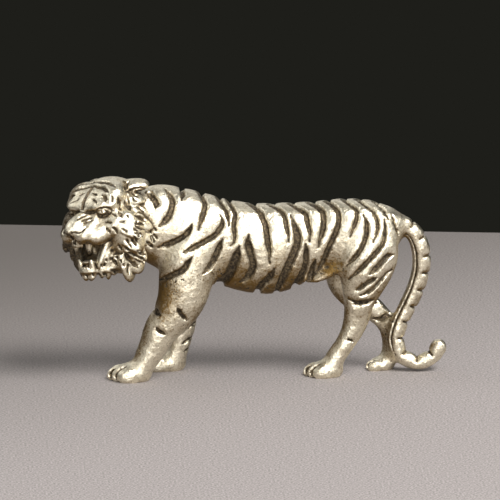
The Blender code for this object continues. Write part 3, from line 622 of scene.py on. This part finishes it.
# Rings on the tail: short cuts across its back, and two long cuts along its belly side that
# leave a thin bead between them. Each ring is given by its place on the tail's outline: x, z.
TAIL_RINGS = (
    (25.9, 24.4),
    (27.2, 22.0),
    (28.2, 19.2),
    (28.0, 16.2),
    (26.8, 13.4),
    (25.6, 10.8),
    (24.6, 8.0),
    (24.2, 5.4),
    (24.6, 3.2),
    (26.6, 2.4),
    (28.6, 2.9),
)
TAIL_RING_REACH = 2.1
BEAD_HALF_WIDTH, BEAD_DEPTH = 0.17, 0.22
tail_line = tail_path[:, :3]
tail_ahead = np.gradient(tail_line, axis=0)
tail_ahead /= np.linalg.norm(tail_ahead, axis=1)[:, None]
for x, z in TAIL_RINGS:
    nearest = np.argmin((tail_line[:, 0] - x) ** 2 + (tail_line[:, 2] - z) ** 2)
    offset = skin - tail_line[nearest]
    close = np.linalg.norm(offset, axis=1) < TAIL_RING_REACH
    back = np.array((-tail_ahead[nearest, 2], 0, tail_ahead[nearest, 0]))
    across_tail = np.abs(offset @ tail_ahead[nearest])
    on_back = close * eased(1.2 * (offset @ back) + 0.35)
    valley = np.exp(-((across_tail / 0.42) ** 2)) * on_back
    nick = eased(1.9 * (1 - across_tail / 0.24)) * close * eased(1.3 * (offset @ back) + 0.15)
    cut_depth = np.maximum(cut_depth, 0.2 * valley + 0.16 * nick)
    shade = np.maximum(shade, nick)
for side in (-1, 1):
    belly = np.stack([tail_ahead[:, 2], 0 * tail_ahead[:, 0], -tail_ahead[:, 0]], axis=1)
    bead = tail_line + 0.95 * belly + (0, side * 1.15, 0)
    gouge(skin, bead[8:-8:4], BEAD_HALF_WIDTH, BEAD_DEPTH)

# The face is cut finest, with a needle: brows, lids, wrinkles of the snarl, nostrils
# and the dashes on the cheeks. It is a drawing of the head's left half as seen from the front
# left, and the right half is its mirror: half width, depth, then across and up.
FACE_CUTS = (
    (0.2, 0.3, (-26.9, 26.35), (-26.0, 26.3), (-25.2, 26.2), (-24.6, 26.35)),
    (0.13, 0.22, (-24.9, 26.25), (-24.3, 26.7), (-23.3, 26.9), (-22.5, 26.75), (-21.8, 26.5)),
    (0.09, 0.1, (-23.75, 26.42), (-23.7, 26.25)),
    (0.13, 0.18, (-24.5, 26.1), (-24.1, 25.75), (-23.5, 25.6), (-22.9, 25.85), (-22.2, 26.3)),
    (0.24, 0.36, (-25.0, 30.45), (-24.2, 30.35), (-23.4, 30.0), (-22.7, 29.5)),
    (0.22, 0.34, (-24.6, 31.2), (-23.5, 31.15), (-22.3, 30.85), (-21.6, 30.3)),
    (0.24, 0.34, (-23.7, 29.0), (-23.2, 28.6), (-23.1, 28.0)),
    (0.13, 0.2, (-25.3, 28.4), (-24.9, 28.15), (-24.6, 27.8)),
    (0.12, 0.2, (-25.2, 29.3), (-24.8, 29.2), (-24.5, 29.0)),
    (0.08, 0.16, (-28.4, 23.05), (-27.6, 23.0), (-27.0, 23.15), (-26.5, 23.6), (-26.1, 24.05)),
    (0.13, 0.24, (-27.6, 25.1), (-26.9, 25.6), (-26.1, 25.85)),
    (0.13, 0.22, (-27.0, 24.75), (-26.3, 25.15), (-25.3, 25.4)),
    (0.11, 0.18, (-26.6, 24.45), (-26.0, 24.8), (-25.2, 25.0)),
    (0.14, 0.2, (-23.1, 23.75), (-22.7, 23.5), (-22.4, 23.0)),
    (0.15, 0.25, (-22.1, 23.85), (-21.6, 23.5), (-21.3, 22.9)),
    (0.16, 0.25, (-20.6, 23.7), (-20.0, 23.4), (-19.7, 23.1)),
    (0.16, 0.22, (-21.1, 26.4), (-20.8, 25.9), (-20.6, 25.5)),
    (0.14, 0.2, (-23.2, 24.75), (-22.6, 24.6), (-22.1, 24.65)),
    (0.14, 0.2, (-22.2, 26.1), (-21.7, 25.9), (-21.3, 25.6)),
    (0.14, 0.2, (-21.2, 28.6), (-20.9, 28.0), (-20.9, 27.4)),
    (0.14, 0.2, (-22.2, 29.0), (-22.0, 28.4), (-22.1, 27.8)),
)
# Cuts on the ears, in the same drawing
EAR_CUTS = (
    (0.26, 0.4, (-19.7, 29.6), (-19.0, 29.75), (-18.2, 30.0), (-17.1, 30.1)),
    (0.14, 0.25, (-20.05, 29.8), (-19.9, 30.5), (-19.4, 31.2)),
)

in_head = np.array(HEAD_ON_NECK.inverted())
head_skin = skin @ in_head[:3, :3].T + in_head[:3, 3]
head_out = outward @ in_head[:3, :3].T
ahead, left, up = head_skin[:, 0], np.abs(head_skin[:, 1]), head_skin[:, 2]
left_out = head_out[:, 1] * np.sign(head_skin[:, 1])
face_drawing = np.stack(
    [-26.7 - 0.623 * ahead + 0.757 * left - 0.195 * up, 26.5 - 0.296 * ahead + 0.955 * up], axis=1
)
seen_from_left = head_out[:, 0] * 0.724 + left_out * 0.653 + head_out[:, 2] * 0.222
on_head = eased((ahead + 8.0) * 2) * eased((up + 13.5) * 2) * (left < 9.5)
faces_left = eased(seen_from_left * 4) * on_head
for half_width, depth, *line in FACE_CUTS:
    gouge(face_drawing, line, half_width, depth, faces_left)
for half_width, depth, *line in EAR_CUTS:
    gouge(face_drawing, line, half_width, depth, eased((ahead + 11.0) * 2) * (skin[:, 0] < -15))
on_brow = (up > 0.2) * (up < 3.2) * (ahead > -4.5) * on_head
on_lip = (up < -2.4) * (up > -4.6) * (ahead > 3.2) * on_head
middle_cut = eased(1.8 * (1 - left / 0.32)) * (0.34 * on_brow + 0.25 * on_lip)
cut_depth = np.maximum(cut_depth, middle_cut)
shade = np.maximum(shade, eased(1.8 * (1 - left / 0.5)) * np.maximum(on_brow, on_lip))

# The ruff and the beard are cut last, in single dashes as a needle leaves them, each following
# the lie of the fur: half width, depth, then across and up in the same drawing.
FUR_DASHES = (
    (0.16, 0.3, (-20.1, 28.1), (-20.0, 27.6), (-19.6, 27.1), (-19.1, 26.55)),
    (0.11, 0.2, (-18.75, 28.6), (-18.6, 28.2), (-18.1, 28.0)),
    (0.12, 0.25, (-18.3, 27.15), (-17.9, 27.05), (-17.4, 26.7), (-17.0, 26.3)),
    (0.14, 0.28, (-18.1, 26.15), (-17.6, 26.3), (-17.0, 26.0), (-16.6, 25.3)),
    (0.17, 0.3, (-18.6, 25.75), (-18.0, 25.6), (-17.4, 25.2), (-16.75, 24.8)),
    (0.11, 0.2, (-18.3, 24.95), (-18.05, 24.65)),
    (0.16, 0.3, (-18.5, 24.5), (-17.9, 24.45), (-17.4, 24.45), (-17.0, 24.25)),
    (0.12, 0.22, (-18.4, 24.15), (-17.9, 23.85), (-17.4, 23.6), (-17.0, 23.5)),
    (0.12, 0.22, (-18.7, 23.6), (-18.1, 23.4)),
    (0.17, 0.3, (-18.6, 23.05), (-18.0, 23.0), (-17.5, 22.6), (-17.25, 22.35)),
    (0.11, 0.2, (-18.1, 22.6), (-17.6, 22.3)),
    (0.13, 0.25, (-18.6, 22.4), (-18.3, 21.9), (-18.0, 21.5)),
    (0.18, 0.3, (-19.1, 22.0), (-18.8, 21.75), (-18.4, 21.3), (-18.2, 21.0)),
    (0.14, 0.25, (-19.5, 21.3), (-19.2, 21.0), (-19.1, 20.6)),
    (0.14, 0.25, (-20.1, 20.55), (-19.7, 20.35), (-19.4, 20.2)),
    (0.14, 0.25, (-19.9, 21.9), (-19.6, 21.6), (-19.5, 21.2)),
    (0.14, 0.25, (-21.2, 21.1), (-20.9, 20.6), (-20.6, 20.3)),
    (0.10, 0.15, (-21.0, 28.1), (-21.2, 27.5)),
    (0.10, 0.15, (-21.0, 27.1), (-20.7, 26.6)),
    (0.14, 0.2, (-20.7, 26.2), (-20.5, 25.8)),
    (0.10, 0.15, (-19.7, 25.9), (-19.6, 25.4)),
    (0.10, 0.15, (-20.9, 24.7), (-20.4, 24.7), (-20.1, 24.9)),
    (0.12, 0.22, (-19.0, 29.5), (-18.6, 29.1), (-18.0, 28.7)),
    (0.25, 0.4, (-18.0, 20.1), (-17.4, 19.8), (-16.8, 19.6)),
    (0.22, 0.4, (-17.6, 19.2), (-17.2, 18.7), (-17.1, 18.2)),
    (0.22, 0.4, (-20.1, 19.8), (-19.5, 19.0), (-18.9, 18.3), (-18.2, 17.4)),
    (0.18, 0.3, (-19.6, 19.8), (-18.9, 19.6), (-18.2, 19.2), (-17.6, 18.8)),
    (0.18, 0.3, (-18.7, 18.4), (-18.3, 17.9), (-18.0, 17.5)),
    (0.16, 0.3, (-19.6, 18.1), (-19.5, 17.2), (-19.5, 16.4)),
    (0.13, 0.2, (-20.3, 18.1), (-20.1, 17.6)),
    (0.13, 0.2, (-20.9, 18.7), (-20.6, 18.3)),
    (0.28, 0.4, (-22.2, 17.1), (-21.4, 16.7), (-20.5, 16.2)),
    (0.15, 0.25, (-22.0, 18.7), (-21.6, 18.3), (-21.3, 17.8)),
    (0.18, 0.25, (-22.4, 19.0), (-22.1, 18.7)),
    (0.14, 0.2, (-22.2, 20.4), (-22.0, 19.9)),
    (0.14, 0.2, (-21.7, 19.2), (-21.2, 19.0)),
    (0.16, 0.25, (-23.6, 16.6), (-23.0, 16.2)),
    (0.14, 0.2, (-24.4, 16.5), (-23.9, 15.9)),
    (0.13, 0.2, (-23.9, 18.0), (-23.6, 17.6)),
    (0.12, 0.2, (-23.1, 18.9), (-22.9, 18.4)),
    (0.12, 0.2, (-25.3, 16.6), (-24.9, 16.0)),
    (0.12, 0.2, (-26.4, 16.4), (-26.1, 15.9)),
)
# Those where the ruff meets the neck lie in the side drawing, like the stripes
NECK_FUR_DASHES = (
    (0.2, 0.35, (-17.0, 21.8), (-16.5, 21.3), (-15.9, 20.9)),
    (0.15, 0.28, (-16.3, 22.7), (-16.05, 22.2), (-15.8, 21.6)),
    (0.13, 0.22, (-15.9, 23.0), (-15.5, 22.5), (-15.2, 22.1)),
    (0.11, 0.2, (-16.3, 23.7), (-16.2, 23.1)),
    (0.11, 0.2, (-15.75, 24.05), (-15.4, 23.5)),
)
for half_width, depth, *line in FUR_DASHES:
    gouge(face_drawing, line, half_width, depth, faces_left)
for half_width, depth, *line in NECK_FUR_DASHES:
    gouge(side_drawing, line, half_width, depth, faces_out)
skin -= outward * cut_depth[:, None]

# The patina. The casting is dipped until it is black all over, then rubbed bright, so the dark
# stays where the cloth can't reach. Hollows are found by how far the skin lies below its own
# surroundings, close by and wider off, and are stored on the skin for the brass to read, together
# with painted shade in the mouth, on the nose pad and on the far side of the face.
edges = np.empty(len(figure.edges) * 2, np.int32)
figure.edges.foreach_get("vertices", edges)
edges = edges.reshape(-1, 2)
neighbours = np.bincount(edges.ravel(), minlength=count)[:, None]


def surroundings(places, rounds):
    """Where each point would lie if its neighbours pulled it level so many times."""
    for _ in range(rounds):
        total = [
            np.bincount(edges[:, 0], places[edges[:, 1], k], count)
            + np.bincount(edges[:, 1], places[edges[:, 0], k], count)
            for k in range(3)
        ]
        places = np.stack(total, axis=1) / neighbours
    return places


figure.vertices.foreach_set("co", skin.ravel())
figure.update()
outward = outward_of(figure)
close_by = surroundings(skin, rounds=8)
wider_off = surroundings(close_by, rounds=60)
small_hollow = np.einsum("ij,ij->i", close_by - skin, outward)
wide_hollow = np.einsum("ij,ij->i", wider_off - skin, outward)
# Patina and painted shade fill the open mouth, darker than its hollow alone makes it.
mouth = np.exp(-(((ahead - 1.2) / 2.6) ** 2 + (left / 2.2) ** 2 + ((up + 6.6) / 1.5) ** 2) ** 2)
mouth *= on_head
patina_and_painted_shade = np.maximum(shade, eased(small_hollow / 0.05 - 0.1))
patina_and_painted_shade = np.maximum(patina_and_painted_shade, 0.9 * eased(wide_hollow / 0.35 - 0.25))
patina_and_painted_shade = np.maximum(patina_and_painted_shade, mouth)
polish = eased(-small_hollow / 0.03) + eased(-wide_hollow / 0.3)
# Painted shade: skin that faces down is darkened with brown film, from a little above the floor up; broad
# hollows get some film too.
painted_shade_and_film = 0.9 * eased(0.05 - 1.5 * outward[:, 2]) * eased((skin[:, 2] - 5) / 8)
painted_shade_and_film = np.maximum(painted_shade_and_film, 0.8 * eased(wide_hollow / 0.4 + 0.2))
# Painted shade, laid on as brown film where shade falls under the body: the chest, the belly behind
# the elbow, its middle and the groin. The fronts of the legs, which face away from the key, get some
# painted shade as film too. The nose pad is darkened by patina and painted shade, and the far side
# of the face by painted shade.
UNDERBODY_FILM_AND_PAINTED_SHADE = (
    ((-14.5, 0.0, 14.5), (2.8, 30.0, 4.5), 1.0),
    ((-3.0, 0.0, 16.3), (4.5, 30.0, 4.2), 0.9),
    ((6.0, 0.0, 15.9), (5.5, 30.0, 4.2), 0.85),
    ((12.6, 0.0, 17.6), (2.6, 30.0, 3.2), 1.0),
)
NOSE_PAD_PATINA_AND_SHADE = ((4.4, -0.2, -2.5), (0.8, 1.1, 0.95))


def closeness(places, spot, reach):
    """1 at the spot, fading out over its reach."""
    return np.exp(-(((places - spot) / reach) ** 2).sum(axis=1))


# Painted shade on the fronts of the lower legs, which face away from the key.
painted_leg_front_shade = eased(-1.6 * outward[:, 0] - 0.4) * eased((14 - skin[:, 2]) / 3)
painted_shade_and_film = np.maximum(painted_shade_and_film, 0.7 * painted_leg_front_shade * eased((skin[:, 2] - 1) / 4))
for spot, reach, strength in UNDERBODY_FILM_AND_PAINTED_SHADE:
    painted_shade_and_film = np.maximum(painted_shade_and_film, strength * closeness(skin, spot, reach))
# Patina and painted shade on the front of the nose.
patina_and_painted_shade = np.maximum(patina_and_painted_shade, 0.8 * closeness(head_skin, *NOSE_PAD_PATINA_AND_SHADE))
# Painted shade on the far side of the ruff and on the far lip.
painted_far_ruff_shade = eased((-head_skin[:, 1] - 2.2) / 1.4)
painted_far_lip_shade = eased((-head_skin[:, 1] - 1.2) / 0.7) * (up < -4.8)
patina_and_painted_shade = np.maximum(patina_and_painted_shade, np.maximum(0.72 * painted_far_ruff_shade, 0.85 * painted_far_lip_shade) * on_head)
stored_values = (("patina_and_painted_shade", patina_and_painted_shade), ("polish", np.clip(polish, 0, 1)), ("painted_shade_and_film", painted_shade_and_film))
for name, values in stored_values:
    stored = figure.attributes.new(name, "FLOAT", "POINT")
    stored.data.foreach_set("value", values.astype(np.float32))

# Truing up: loose crumbs of wax are dropped, the skin is thinned where it is flat, the soles are
# ground level with the floor, and the figure is brought to the place and size of its casting.
TRIANGLES = 196000


def drop_crumbs(mesh):
    """Keeps only the largest piece of a mesh that hangs together."""
    wax = bmesh.new()
    wax.from_mesh(mesh)
    left_over, pieces = set(wax.verts), []
    while left_over:
        front = [left_over.pop()]
        piece = set(front)
        while front:
            linked = {e.other_vert(v) for v in front for e in v.link_edges} - piece
            piece |= linked
            front = list(linked)
        left_over -= piece
        pieces.append(piece)
    largest = max(pieces, key=len)
    bmesh.ops.delete(wax, geom=[v for v in wax.verts if v not in largest], context="VERTS")
    wax.to_mesh(mesh)
    wax.free()


figure.calc_loop_triangles()
thinning_form = on_bench(figure, "figure")
thinning = thinning_form.modifiers.new("thinning", "DECIMATE")
thinning.ratio = min(1, TRIANGLES / len(figure.loop_triangles))
figure = settled(thinning_form)
drop_crumbs(figure)
ground = bmesh.new()
ground.from_mesh(figure)
whole = ground.verts[:] + ground.edges[:] + ground.faces[:]
cut = bmesh.ops.bisect_plane(
    ground, geom=whole, plane_co=(0, 0, 0), plane_no=(0, 0, -1), clear_outer=True
)
sole_rims = [e for e in cut["geom_cut"] if isinstance(e, bmesh.types.BMEdge)]
bmesh.ops.holes_fill(ground, edges=sole_rims, sides=0)
bmesh.ops.scale(ground, vec=[0.001] * 3, verts=ground.verts)
low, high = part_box("tiger")
own_low = [min(v.co[k] for v in ground.verts) for k in range(2)]
own_high = [max(v.co[k] for v in ground.verts) for k in range(2)]
to_casting = Vector([(low[k] + high[k] - own_low[k] - own_high[k]) / 2 for k in range(2)] + [0])
bmesh.ops.translate(ground, vec=to_casting, verts=ground.verts)
ground.to_mesh(figure)
ground.free()
figure.shade_smooth()

# Antiqued brass: a yellow brass alloy, lost-wax cast, darkened and rubbed back. The high places
# are pale gold with a soft polish, the skin keeps the fine grain of the mould and small pits,
# and dull brown-black patina sits in the cuts.
brass = bpy.data.materials.new("antiqued_cast_brass")
brass.use_nodes = True
brass_nodes = brass.node_tree
brass_shader = brass_nodes.nodes["Principled BSDF"]


def from_hex(code):
    """An sRGB colour as Blender's linear one."""
    channels = [int(code[i : i + 2], 16) / 255 for i in (1, 3, 5)]
    return [c / 12.92 if c <= 0.04045 else ((c + 0.055) / 1.055) ** 2.4 for c in channels] + [1]


def add_node(tree, kind, links=None, values=None, **settings):
    """Adds a node, sets it and its inputs, and links inputs to other nodes' outputs."""
    node = tree.nodes.new(kind)
    for name, value in settings.items():
        setattr(node, name, value)
    for name, value in (values or {}).items():
        node.inputs[name].default_value = value
    for name, output in (links or {}).items():
        tree.links.new(output, node.inputs[name])
    return node


place = add_node(brass_nodes, "ShaderNodeTexCoord").outputs["Object"]
patina_and_painted_shade_here, polish_here, painted_shade_and_film_here = [
    add_node(brass_nodes, "ShaderNodeAttribute", attribute_name=name).outputs["Fac"]
    for name, _ in stored_values
]
# Grain of the investment mould, about 0.3 mm
mould_grain = add_node(
    brass_nodes,
    "ShaderNodeTexNoise",
    {"Vector": place},
    {"Scale": 3300, "Detail": 3, "Roughness": 0.65},
).outputs["Fac"]
# Unevenness that fingers leave in wax, about 0.9 mm and 2.2 mm
tool_marks = add_node(
    brass_nodes,
    "ShaderNodeTexNoise",
    {"Vector": place},
    {"Scale": 1100, "Detail": 2, "Roughness": 0.5},
).outputs["Fac"]
thumb_marks = add_node(
    brass_nodes,
    "ShaderNodeTexNoise",
    {"Vector": place},
    {"Scale": 450, "Detail": 1, "Roughness": 0.5},
).outputs["Fac"]
# Pits that the rubbing didn't reach, each about 0.2 mm, gathered in patches
pit_field = add_node(
    brass_nodes,
    "ShaderNodeTexNoise",
    {"Vector": place},
    {"Scale": 2300, "Detail": 2, "Roughness": 0.5},
).outputs["Fac"]
pit_patches = add_node(
    brass_nodes, "ShaderNodeTexNoise", {"Vector": place}, {"Scale": 160, "Detail": 2}
).outputs["Fac"]
# More dark pits where the painted shade under the body lies.
pitting_with_painted_shade = add_node(
    brass_nodes,
    "ShaderNodeMath",
    {0: painted_shade_and_film_here, 2: pit_patches},
    {1: 0.3},
    operation="MULTIPLY_ADD",
).outputs["Value"]
pit_level = add_node(
    brass_nodes,
    "ShaderNodeMapRange",
    {"Value": pitting_with_painted_shade},
    {"From Min": 0.4, "From Max": 0.9, "To Min": 0.8, "To Max": 0.56},
).outputs["Result"]
pit_edge = add_node(
    brass_nodes, "ShaderNodeMath", {0: pit_field, 1: pit_level}, operation="SUBTRACT"
).outputs["Value"]
pits = add_node(
    brass_nodes, "ShaderNodeMapRange", {"Value": pit_edge}, {"From Min": 0.0, "From Max": 0.05}
).outputs["Result"]
# The edge of the patina wanders, because the cloth does
ragged = add_node(
    brass_nodes,
    "ShaderNodeMapRange",
    {"Value": mould_grain},
    {"From Min": 0.3, "From Max": 0.7, "To Min": -0.2, "To Max": 0.2},
).outputs["Result"]
# Patina in the cuts and hollows, together with painted shade in the mouth, on the nose pad and on the far
# side of the face
dark_sum = add_node(
    brass_nodes, "ShaderNodeMath", {0: patina_and_painted_shade_here, 1: ragged}, operation="ADD"
).outputs["Value"]
dark_in_cuts_and_shade = add_node(
    brass_nodes,
    "ShaderNodeMapRange",
    {"Value": dark_sum},
    {"From Min": 0.2, "From Max": 0.85},
    interpolation_type="SMOOTHSTEP",
).outputs["Result"]
patina_and_shade_here = add_node(
    brass_nodes, "ShaderNodeMath", {0: dark_in_cuts_and_shade, 1: pits}, operation="MAXIMUM"
).outputs["Value"]
# A brown film in a fine mottle, and the same brown film laid on as painted shade under the belly and on
# the fronts of the legs
mottle = add_node(
    brass_nodes,
    "ShaderNodeMapRange",
    {"Value": tool_marks},
    {"From Min": 0.42, "From Max": 0.7, "To Min": 0.0, "To Max": 0.28},
).outputs["Result"]
fine_mottle = add_node(
    brass_nodes,
    "ShaderNodeMapRange",
    {"Value": mould_grain},
    {"From Min": 0.5, "From Max": 0.66, "To Min": 0.0, "To Max": 0.42},
).outputs["Result"]
mottle_sum = add_node(
    brass_nodes, "ShaderNodeMath", {0: mottle, 1: fine_mottle}, operation="ADD"
).outputs["Value"]
film_with_painted_shade = add_node(
    brass_nodes,
    "ShaderNodeMath",
    {0: mottle_sum, 1: painted_shade_and_film_here},
    operation="ADD",
    use_clamp=True,
).outputs["Value"]
brass_tone = add_node(brass_nodes, "ShaderNodeMix", {"Factor": film_with_painted_shade}, data_type="RGBA")
brass_tone.inputs["A"].default_value = from_hex("#F5ECD4")
# The brown of the film, also the colour of the painted shade.
brass_tone.inputs["B"].default_value = from_hex("#7E6439")
grit = add_node(
    brass_nodes,
    "ShaderNodeMapRange",
    {"Value": mould_grain},
    {"From Min": 0.4, "From Max": 0.68},
).outputs["Result"]
# Dark patina, also the colour of the painted shade in the mouth, on the nose pad and on the far side of
# the face
patina_and_shade_tone = add_node(brass_nodes, "ShaderNodeMix", {"Factor": grit}, data_type="RGBA")
patina_and_shade_tone.inputs["A"].default_value = from_hex("#2B231B")
patina_and_shade_tone.inputs["B"].default_value = from_hex("#7A6A50")
surface_tone = add_node(
    brass_nodes,
    "ShaderNodeMix",
    {
        "Factor": patina_and_shade_here,
        "A": brass_tone.outputs["Result"],
        "B": patina_and_shade_tone.outputs["Result"],
    },
    data_type="RGBA",
)
brass_nodes.links.new(surface_tone.outputs["Result"], brass_shader.inputs["Base Color"])
metal_here = add_node(
    brass_nodes,
    "ShaderNodeMapRange",
    {"Value": patina_and_shade_here},
    {"To Min": 1.0, "To Max": 0.7},
).outputs["Result"]
brass_nodes.links.new(metal_here, brass_shader.inputs["Metallic"])
rubbed = add_node(
    brass_nodes,
    "ShaderNodeMapRange",
    {"Value": polish_here},
    {"To Min": 0.4, "To Max": 0.3},
).outputs["Result"]
dulled = add_node(
    brass_nodes, "ShaderNodeMath", {0: film_with_painted_shade, 2: rubbed}, {1: 0.14}, operation="MULTIPLY_ADD"
).outputs["Value"]
roughness_here = add_node(
    brass_nodes,
    "ShaderNodeMix",
    {"Factor": patina_and_shade_here, "A": dulled},
    {"B": 0.55},
    data_type="FLOAT",
).outputs["Result"]
brass_nodes.links.new(roughness_here, brass_shader.inputs["Roughness"])
thumb_bump = add_node(
    brass_nodes, "ShaderNodeBump", {"Height": thumb_marks}, {"Strength": 0.6, "Distance": 0.0003}
).outputs["Normal"]
tool_bump = add_node(
    brass_nodes,
    "ShaderNodeBump",
    {"Height": tool_marks, "Normal": thumb_bump},
    {"Strength": 0.7, "Distance": 0.0002},
).outputs["Normal"]
grain_bump = add_node(
    brass_nodes,
    "ShaderNodeBump",
    {"Height": mould_grain, "Normal": tool_bump},
    {"Strength": 0.6, "Distance": 0.0001},
).outputs["Normal"]
pit_bump = add_node(
    brass_nodes,
    "ShaderNodeBump",
    {"Height": pits, "Normal": grain_bump},
    {"Strength": 0.6, "Distance": 0.00005},
    invert=True,
).outputs["Normal"]
brass_nodes.links.new(pit_bump, brass_shader.inputs["Normal"])

figure.materials.clear()
figure.materials.append(brass)
tiger = on_bench(figure, "cast_brass_tiger")
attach(tiger, "root")
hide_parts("tiger")

# The table that it stands on: a pale grey board, painted matt with a short-nap roller, which
# leaves a fine speckle. Its far edge lies a hand's width behind the figure and a little askew.
table_mesh = bpy.data.meshes.new("table")
table_corners = [(-0.9, -0.9, 0), (0.9, -0.9, 0), (0.9, -0.005, 0), (-0.9, 0.235, 0)]
table_mesh.from_pydata(table_corners, [], [(0, 1, 2, 3)])
table = on_bench(table_mesh, "studio_table")
board = bpy.data.materials.new("matt_painted_board")
board.use_nodes = True
board_shader = board.node_tree.nodes["Principled BSDF"]
board_shader.inputs["Roughness"].default_value = 0.8
board_place = add_node(board.node_tree, "ShaderNodeTexCoord").outputs["Object"]
board_grain = add_node(
    board.node_tree, "ShaderNodeTexNoise", {"Vector": board_place}, {"Scale": 3000, "Detail": 2}
).outputs["Fac"]
speckle = add_node(
    board.node_tree,
    "ShaderNodeMapRange",
    {"Value": board_grain},
    {"From Min": 0.32, "From Max": 0.68},
).outputs["Result"]
board_axes = add_node(board.node_tree, "ShaderNodeSeparateXYZ", {"Vector": board_place}).outputs
# Painted shade: the board is darker towards the back and the left, where less light falls.
board_depth = add_node(
    board.node_tree,
    "ShaderNodeMath",
    {0: board_axes["X"], 2: board_axes["Y"]},
    {1: -0.75},
    operation="MULTIPLY_ADD",
).outputs["Value"]
painted_far_shade = add_node(
    board.node_tree,
    "ShaderNodeMapRange",
    {"Value": board_depth},
    {"From Min": -0.05, "From Max": 0.145},
    interpolation_type="SMOOTHSTEP",
).outputs["Result"]
near_tone = add_node(board.node_tree, "ShaderNodeMix", {"Factor": speckle}, data_type="RGBA")
near_tone.inputs["A"].default_value = from_hex("#746E6B")
near_tone.inputs["B"].default_value = from_hex("#A9A19E")
board_tone = add_node(
    board.node_tree,
    "ShaderNodeMix",
    {"Factor": painted_far_shade, "A": near_tone.outputs["Result"]},
    data_type="RGBA",
)
# The far tone, painted shade.
board_tone.inputs["B"].default_value = from_hex("#5E5853")
board.node_tree.links.new(board_tone.outputs["Result"], board_shader.inputs["Base Color"])
table_mesh.materials.append(board)

# Soft boxes aimed at the figure: place, width and height, power in watts. The key stands on the
# right in front and high, so the shadow falls behind the figure and to the left.
AIM_HEIGHT = 0.018
SOFT_BOXES = (
    ("key_box", (0.3, -0.33, 0.58), (0.4, 0.28), 7.0),
    ("fill_box", (-0.45, -0.55, 0.5), (0.6, 0.6), 0.6),
    ("front_box", (0.05, -0.8, 0.42), (0.66, 0.66), 1.35),
    ("low_box", (0.0, -0.55, 0.09), (0.6, 0.16), 1.2),
    ("left_box", (-0.75, -0.15, 0.5), (0.6, 0.6), 1.2),
    ("left_high_box", (-0.5, 0.15, 0.75), (0.4, 0.4), 1.1),
    ("left_back_box", (-0.6, 0.5, 0.4), (0.5, 0.5), 0.7),
    ("right_box", (0.8, -0.2, 0.38), (0.6, 0.6), 1.7),
    ("top_box", (0.15, 0.3, 0.75), (0.6, 0.6), 0.35),
    ("back_box", (0.0, 0.65, 0.42), (0.6, 0.6), 0.8),
)
for name, spot, (width, height), watts in SOFT_BOXES:
    lamp = bpy.data.lights.new(name, "AREA")
    lamp.shape = "RECTANGLE"
    lamp.size, lamp.size_y = width, height
    lamp.energy = watts
    soft_box = bpy.data.objects.new(name, lamp)
    soft_box.location = spot
    aim = Vector(spot) - Vector((0, 0, AIM_HEIGHT))
    soft_box.rotation_euler = aim.to_track_quat("Z", "Y").to_euler()
    bpy.context.scene.collection.objects.link(soft_box)
room = bpy.data.worlds.new("dim_studio")
room.use_nodes = True
room.node_tree.nodes["Background"].inputs["Color"].default_value = from_hex("#1E1E1A")
bpy.context.scene.world = room
bpy.context.scene.view_settings.view_transform = "Standard"

# The camera, a long lens a little above the table, almost square to the figure's left side: how
# far off it stands, how wide the frame is at the figure and where its middle lies, in metres.
VIEW_ASIDE, VIEW_ABOVE = math.radians(-3), math.radians(12)
CAMERA_DISTANCE = 1.4
FRAME_WIDTH = 0.08
FRAME_ACROSS, FRAME_UP = -0.00024, 0.01975
towards_camera = Vector(
    (
        math.sin(VIEW_ASIDE) * math.cos(VIEW_ABOVE),
        -math.cos(VIEW_ASIDE) * math.cos(VIEW_ABOVE),
        math.sin(VIEW_ABOVE),
    )
)
across = Vector((math.cos(VIEW_ASIDE), math.sin(VIEW_ASIDE), 0))
upward = towards_camera.cross(across)
frame_middle = to_casting + across * FRAME_ACROSS + upward * FRAME_UP
lens = bpy.data.cameras.new("camera")
lens.clip_start = 0.01
lens.sensor_width = 36
lens.lens = lens.sensor_width * CAMERA_DISTANCE / FRAME_WIDTH
camera = bpy.data.objects.new("camera", lens)
camera.location = frame_middle + towards_camera * CAMERA_DISTANCE
camera.rotation_euler = towards_camera.to_track_quat("Z", "Y").to_euler()
bpy.context.scene.collection.objects.link(camera)
bpy.context.scene.camera = camera
